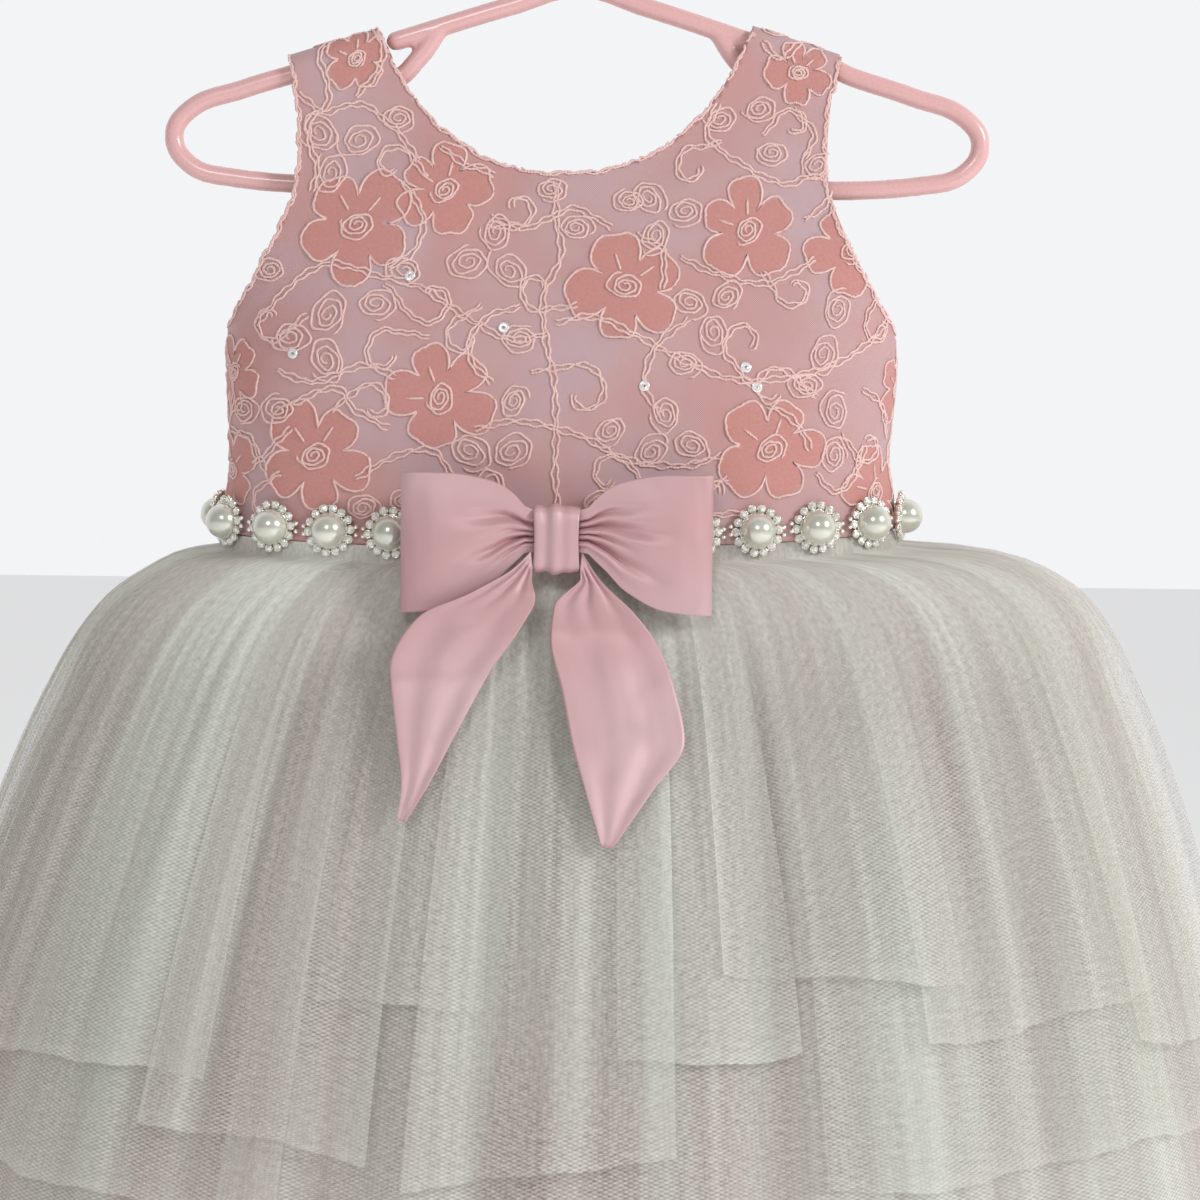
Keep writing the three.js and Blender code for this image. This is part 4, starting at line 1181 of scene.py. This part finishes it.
def motif(rng):
    """One pearl with its round of stones. Out is +Y here, away from the cloth."""
    parts = [(0, ball(PEARL_RADIUS, 2.7, 32, 16, low=-35))]
    for k in range(STONES):
        angle = 2 * math.pi * (k + 0.15) / STONES
        wander = rng.normal(0, 0.14, 3)
        x, z = (7.75 + wander[0]) * math.cos(angle), (7.75 + wander[1]) * math.sin(angle)
        cup = [(0.9, 0.1), (1.5, 0.5), (1.65, 1.5), (1.45, 1.7), (1.2, 1.3), (0.05, 1.0)]
        parts.append((1, lathe(cup[::-1], 8, (x, wander[2], z))))
        for corner in range(4):
            claw = angle + math.pi / 4 + corner * math.pi / 2
            where = (x + 1.28 * math.cos(claw), wander[2], z + 1.28 * math.sin(claw))
            parts.append((1, ball(0.36, 1.85, 4, 4, where)))
        facets = [(0.02, 2.35), (0.62, 2.32), (1.12, 1.85), (1.2, 1.5), (0.3, 0.9)]
        parts.append((2, lathe(facets, 8, (x, wander[2], z))))
    band = [(6.0, 1.4), (6.3, 1.0), (6.6, 1.3)]
    parts.append((1, lathe(band, 40)))
    for side in (-1, 1):
        for up in (-1.4, 1.4):
            parts.append((1, ball(0.9, 0.9, 8, 7, (side * 9.6, 0, up))))
    return joined(parts)


pearl_coat, tree, shader = new_material("pearl", Metallic=0.5, Roughness=0.22, Coat_Weight=1.0)
shader.inputs["Coat Roughness"].default_value = 0.04
place = node(tree, "ShaderNodeTexCoord")
clouds = noise(tree, place.outputs["Object"], Scale=110.0, Detail=1.0)
colour = ramp(tree, clouds.outputs["Fac"], 0.35, 0.65, (0.66, 0.67, 0.57), (0.80, 0.78, 0.69))
tree.links.new(colour, shader.inputs["Base Color"])
plate, tree, shader = new_material("plated_cup", Metallic=1.0)
shader.inputs["Base Color"].default_value = (0.97, 0.94, 0.86, 1)
place = node(tree, "ShaderNodeTexCoord")
rub = noise(tree, place.outputs["Object"], Scale=700.0)
worn = node(tree, "ShaderNodeMapRange", [(rub.outputs["Fac"], "Value")], To_Min=0.15, To_Max=0.4)
tree.links.new(worn.outputs["Result"], shader.inputs["Roughness"])
stone, tree, shader = new_material("clear_stone", Metallic=0.1, Roughness=0.05, IOR=1.9)
# The stones give off a faint glow of their own: painted sparkle, since they are no lamp.
shader.inputs["Emission Strength"].default_value = 0.1
shader.inputs["Emission Color"].default_value = (1.0, 0.99, 0.93, 1)
place = node(tree, "ShaderNodeTexCoord")
glints = node(tree, "ShaderNodeTexVoronoi", [(place.outputs["Object"], "Vector")], Scale=1100.0)
colour = ramp(tree, glints.outputs["Distance"], 0.2, 0.7, (1.0, 1.0, 0.97), (0.5, 0.5, 0.45))
tree.links.new(colour, shader.inputs["Base Color"])

seam_turns = np.linspace(-math.pi, math.pi, 721)
WAIST_HALF, WAIST_FRONT, WAIST_BACK = BODICE[0, 1:]
seam = oval(seam_turns, WAIST_HALF, WAIST_HALF, WAIST_FRONT, WAIST_BACK, SQUARE, waist_z(seam_turns))
along = np.concatenate([[0], np.cumsum(np.linalg.norm(np.diff(seam, axis=0), axis=1))])
along -= along[360]
reach = min(-along[0], along[-1]) - PEARL_BACK_GAP
motif_points, motif_faces, motif_kinds = motif(np.random.default_rng(5))
first = math.ceil((-reach - FIRST_PEARL) / PEARL_PITCH)
last = math.floor((reach - FIRST_PEARL) / PEARL_PITCH)
places = [FIRST_PEARL + k * PEARL_PITCH for k in range(first, last + 1)]
places = [place for place in places if abs(place) >= PEARL_HIDDEN]
for number, place in enumerate(places, 1):
    phi = float(np.interp(place, along, seam_turns))
    around_here = np.array([phi - 0.01, phi, phi + 0.01])
    level = waist_z(np.array([phi] * 3))
    here = oval(around_here, WAIST_HALF, WAIST_HALF, WAIST_FRONT, WAIST_BACK, SQUARE, level)
    tangent = here[2] - here[0]
    tangent /= np.linalg.norm(tangent)
    out = np.array([tangent[1], -tangent[0], 0])
    basis = np.stack([tangent, out, [0, 0, 1]])
    points = motif_points @ basis + here[1] + out * 0.3 + np.array([0, 0, PEARL_RISE])
    pearl = cloth_mesh(f"pearl_motif_{number:02d}", points, motif_faces, motif_points[:, [0, 2]])
    for material in (pearl_coat, plate, stone):
        pearl.data.materials.append(material)
    pearl.data.polygons.foreach_set("material_index", motif_kinds.astype(np.int32))
    pearl.data.polygons.foreach_set("use_smooth", motif_kinds != 2)
    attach(pearl, "root")
    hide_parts(f"pearl_{number:02d}")

# Bow ----------------------------------------------------------------------------------------
# Pink satin ribbon: two folded loops and two tails, drawn in at the middle by a band of the
# same ribbon and stitched over the waist seam. x and height are from the knot's centre.
BOW_Y = -51.0
BOW_Z = -259.7
LOOP = np.array(
    [  # distance from the knot, height of the middle line, half the ribbon's width
        (3, 2.5, 6.5),
        (9, 3.2, 7),
        (16, 3.6, 13),
        (24, 1.5, 19),
        (38, -0.8, 23.6),
        (54, -1.6, 24.5),
    ]
)
PLEATS = {  # where across the ribbon, width, depth, length
    "left": [(0.3, 0.09, 1.0, 30), (0.52, 0.05, 0.6, 14), (0.68, 0.07, 1.2, 26), (0.84, 0.05, 0.7, 16)],
    "right": [(0.22, 0.06, 0.9, 24), (0.42, 0.08, 1.1, 38), (0.6, 0.05, 0.8, 20), (0.78, 0.08, 1.2, 32)],
}


def ribbon(name, points, cut, node_name, thickness=0.0005):
    """A piece of ribbon on a grid of points, given its thickness and its place in the frame."""
    faces = grid_faces(points.shape[0], points.shape[1])
    piece = cloth_mesh(name, points.reshape(-1, 3), faces, cut.reshape(-1, 2))
    piece.data.materials.append(satin)
    give_thickness(piece, thickness, 0.0)
    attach(piece, "root")
    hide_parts(node_name)
    return piece


def loop_points(side, pleats):
    """Out from the knot and back behind itself; u runs along the ribbon and v across it."""
    u, v = np.meshgrid(np.linspace(0, 1, 93), np.linspace(0, 1, 75), indexing="ij")
    turn = math.pi * u
    reach = np.maximum(np.sin(turn), 0) ** 0.55
    x = 3 + 51 * reach
    centre, half = through(LOOP, 1, x), through(LOOP, 2, x)
    c = np.cos(turn)
    swell = 0.32 + 0.68 * np.sin(turn)
    out = np.where(c > 0, 7.5, 2.2 + 0.8 * (1 - np.sin(turn))) * c * swell
    front = smooth(c, -0.15, 0.2)
    for where, width, depth, length in pleats:
        fade = 1 - smooth(x, 0.4 * length, 12 + length)
        middle = where + (0.5 - where) * 0.25 * (1 - (x - 3) / 51)
        spread = width * (0.5 + 0.4 * (x - 3) / 51)
        trough = np.exp(-(((v - middle) / spread) ** 2))
        ridge = np.exp(-(((v - middle - 1.9 * spread) / spread) ** 2))
        out = out + front * depth * fade * (0.9 * ridge - 2.6 * trough) * smooth(x, 3, 8)
    billow = 2.2 * np.sin(math.pi * v) ** 1.4 * smooth(x, 10, 34) * (1 - 0.8 * smooth(x, 42, 54))
    out = out + front * billow * np.maximum(c, 0)
    up = centre + half * (1 - 2 * v)
    lift = 1.1 * (1 - 2 * v) * np.sin(math.pi * (1 - 2 * v)) * smooth(x, 40, 54)
    points = np.stack([DRESS_X + side * x, BOW_Y - out, BOW_Z + up - lift], -1)
    cut = np.stack([u * 118, v * 49], -1)
    return points, cut


def band_points():
    """The knot's band, round the middle of the bow, slightly pinched across."""
    turn = np.linspace(0, 2 * math.pi, 81)
    power = 0.42
    up = 11.4 * np.sign(np.cos(turn)) * np.abs(np.cos(turn)) ** power
    out = 8.55 * np.sign(np.sin(turn)) * np.abs(np.sin(turn)) ** power
    across = np.linspace(-1, 1, 31)
    grid_up, grid_x = np.meshgrid(up, across, indexing="ij")
    grid_out = np.broadcast_to(out[:, None], grid_up.shape)
    ridge = 0.35 * np.cos(grid_x * 5.2) + 0.25 * np.cos(grid_x * 9 + 1)
    rim = -0.6 * grid_x**8
    scale = 1 + (ridge + rim) / 10
    waist = 1 - 0.07 * (1 - (grid_up / 11.4) ** 2)
    x, y = DRESS_X + 8.1 * grid_x * waist, -47.7 - grid_out * scale
    points = np.stack([x, y, BOW_Z + grid_up * scale], -1)
    cut = np.stack([np.broadcast_to(turn[:, None] * 10, grid_x.shape), grid_x * 8], -1)
    return points, cut


TAILS = {  # left and right edges (x, height) of each row, from the knot to the slanted end
    "left": [
        (-8.8, -4, -8.4, -9.5),
        (-15, -10, -8.4, -13.4),
        (-30, -18.5, -7, -20),
        (-47, -26.5, -12.5, -31),
        (-57, -45, -22, -45),
        (-54, -68, -34.5, -68),
        (-51.8, -83.3, -42.5, -83.3),
        (-52.6, -94.5, -50, -95.5),
    ],
    "right": [
        (8.4, -9.5, 8.8, -4),
        (8.4, -13.4, 15.5, -14),
        (-0.6, -23, 27, -25),
        (-1.8, -35, 36, -37),
        (2.5, -52, 41.5, -51),
        (6, -68, 45, -68),
        (11.2, -85, 33.5, -85),
        (16.8, -102, 20.5, -103),
    ],
}
TAIL_OUT = {  # share of the length, least distance forward of the hanger
    "left": [(0, 55.4), (0.14, 57.6), (0.28, 61.6), (0.43, 62), (0.6, 58), (1, 40)],
    "right": [(0, 54.9), (0.28, 53), (0.43, 51), (1, 40)],
}


def skirt_front(x, z):
    """How far forward the skirt is at x and height z."""
    phi = np.zeros_like(x)
    for _ in range(4):
        drop = np.maximum(waist_z(phi) - z, 0.3)
        half = np.where(x > DRESS_X, through(SKIRT, 2, drop), through(SKIRT, 1, drop))
        phi = np.arcsin(np.clip((x - DRESS_X) / half, -1, 1))
    s = np.sin(phi)
    return through(SKIRT, 3, drop) * np.cos(phi) * (1 + through(SKIRT, 5, drop) * s * s)


def tail_points(side, rng):
    """A tail that leaves the knot in pleats, opens out and lies on the skirt."""
    rows = np.array(TAILS[side], float)
    share = np.linspace(0, 1, len(rows))
    v, u = np.meshgrid(np.linspace(0, 1, 99), np.linspace(0, 1, 47), indexing="ij")
    table = np.column_stack([share, rows])
    edge = [through(table, k + 1, v) for k in range(4)]
    x = DRESS_X + edge[0] + (edge[2] - edge[0]) * u
    z = BOW_Z + edge[1] + (edge[3] - edge[1]) * u
    least = through(np.array(TAIL_OUT[side], float), 1, v)
    hang = skirt_front(x, z) + 4.6
    wave_out = 0.7 * smooth(v, 0.3, 0.55) * np.cos(4 * math.pi * u)
    for where, depth in ((0.2, 1.0), (0.45, 1.3), (0.72, 0.9)):
        where = where + rng.uniform(-0.05, 0.05)
        trough = depth * np.exp(-(((u - where) / 0.09) ** 2))
        wave_out = wave_out - trough * smooth(v, 0.03, 0.1) * (1 - smooth(v, 0.2, 0.5))
    breadth = np.clip((edge[2] - edge[0]) / 36, 0, 1)
    curl = 1.4 * (np.abs(2 * u - 1) ** 6) * smooth(v, 0.3, 0.6)
    over = 0.5 * (hang + least + np.sqrt((hang - least) ** 2 + 9))
    out = over + (wave_out - 0.5 * curl) * np.where(v > 0.4, breadth, 1)
    run = np.concatenate([[0], np.cumsum(np.hypot(np.diff(x[:, 23]), np.diff(z[:, 23])))])
    cut = np.stack([u * 44, np.broadcast_to(run[:, None], u.shape)], -1)
    return np.stack([x, -out, z], -1), cut


rng = np.random.default_rng(11)
for name, side in (("left", -1), ("right", 1)):
    points, cut = loop_points(side, PLEATS[name])
    loop = ribbon(f"ribbon_loop_{name}", points if side > 0 else points[:, ::-1], cut, f"bow_loop_{name}")
    points, cut = tail_points(name, rng)
    tail = ribbon(f"ribbon_tail_{name}", points, cut, f"bow_tail_{name}")
points, cut = band_points()
band = ribbon("ribbon_band", points, cut, "bow_knot", 0.0008)

# Camera, light and floor --------------------------------------------------------------------
# A plain pale floor well under the hem, an even room and two soft lights. The camera stands a
# little above the waist and leans a trifle to one side.
bpy.ops.mesh.primitive_plane_add(size=14, location=(0, 0, -0.78))
floor = bpy.context.object
floor.name = "floor"
paper, tree, shader = new_material("pale_floor", Roughness=0.9, Emission_Strength=0.16)
shader.inputs["Base Color"].default_value = (0.93, 0.93, 0.93, 1)
floor.data.materials.append(paper)

world = bpy.data.worlds.new("pale_room")
bpy.context.scene.world = world
world.use_nodes = True
tree = world.node_tree
backdrop = tree.nodes["Background"]
backdrop.inputs["Color"].default_value = (0.98, 0.985, 1.0, 1)
direction = node(tree, "ShaderNodeTexCoord")
parts = node(tree, "ShaderNodeSeparateXYZ", [(direction.outputs["Generated"], "Vector")])
room = node(tree, "ShaderNodeMapRange", [(parts.outputs["Y"], "Value")], From_Min=-0.3, From_Max=0.3)
room.inputs["To Min"].default_value = 0.29
room.inputs["To Max"].default_value = 0.92
tree.links.new(room.outputs["Result"], backdrop.inputs["Strength"])


def soft_light(name, place, aim, size, power):
    bpy.ops.object.light_add(type="AREA", location=place)
    lamp = bpy.context.object
    lamp.name = name
    lamp.data.size = size
    lamp.data.energy = power
    lamp.rotation_euler = (Vector(aim) - Vector(place)).to_track_quat("-Z", "Y").to_euler()


soft_light("key", (1.45, -1.0, 0.5), (0, 0, -0.34), 0.5, 19)
soft_light("lamp", (-0.25, -1.6, 0.55), (0, 0, -0.3), 0.3, 5)

aim = Vector((0.0103, 0, -0.2846))
far, rise = 0.95, math.radians(4.5)
bpy.ops.object.camera_add(location=aim + Vector((0, -far * math.cos(rise), far * math.sin(rise))))
camera = bpy.context.object
camera.data.sensor_width = 36
camera.data.lens = 36 * far / 0.4416
look = (aim - camera.location).to_track_quat("-Z", "Y")
camera.rotation_euler = (look @ Quaternion((0, 0, 1), math.radians(0.7))).to_euler()
bpy.context.scene.camera = camera
bpy.context.scene.view_settings.view_transform = "Standard"
bpy.context.scene.cycles.transparent_max_bounces = 24
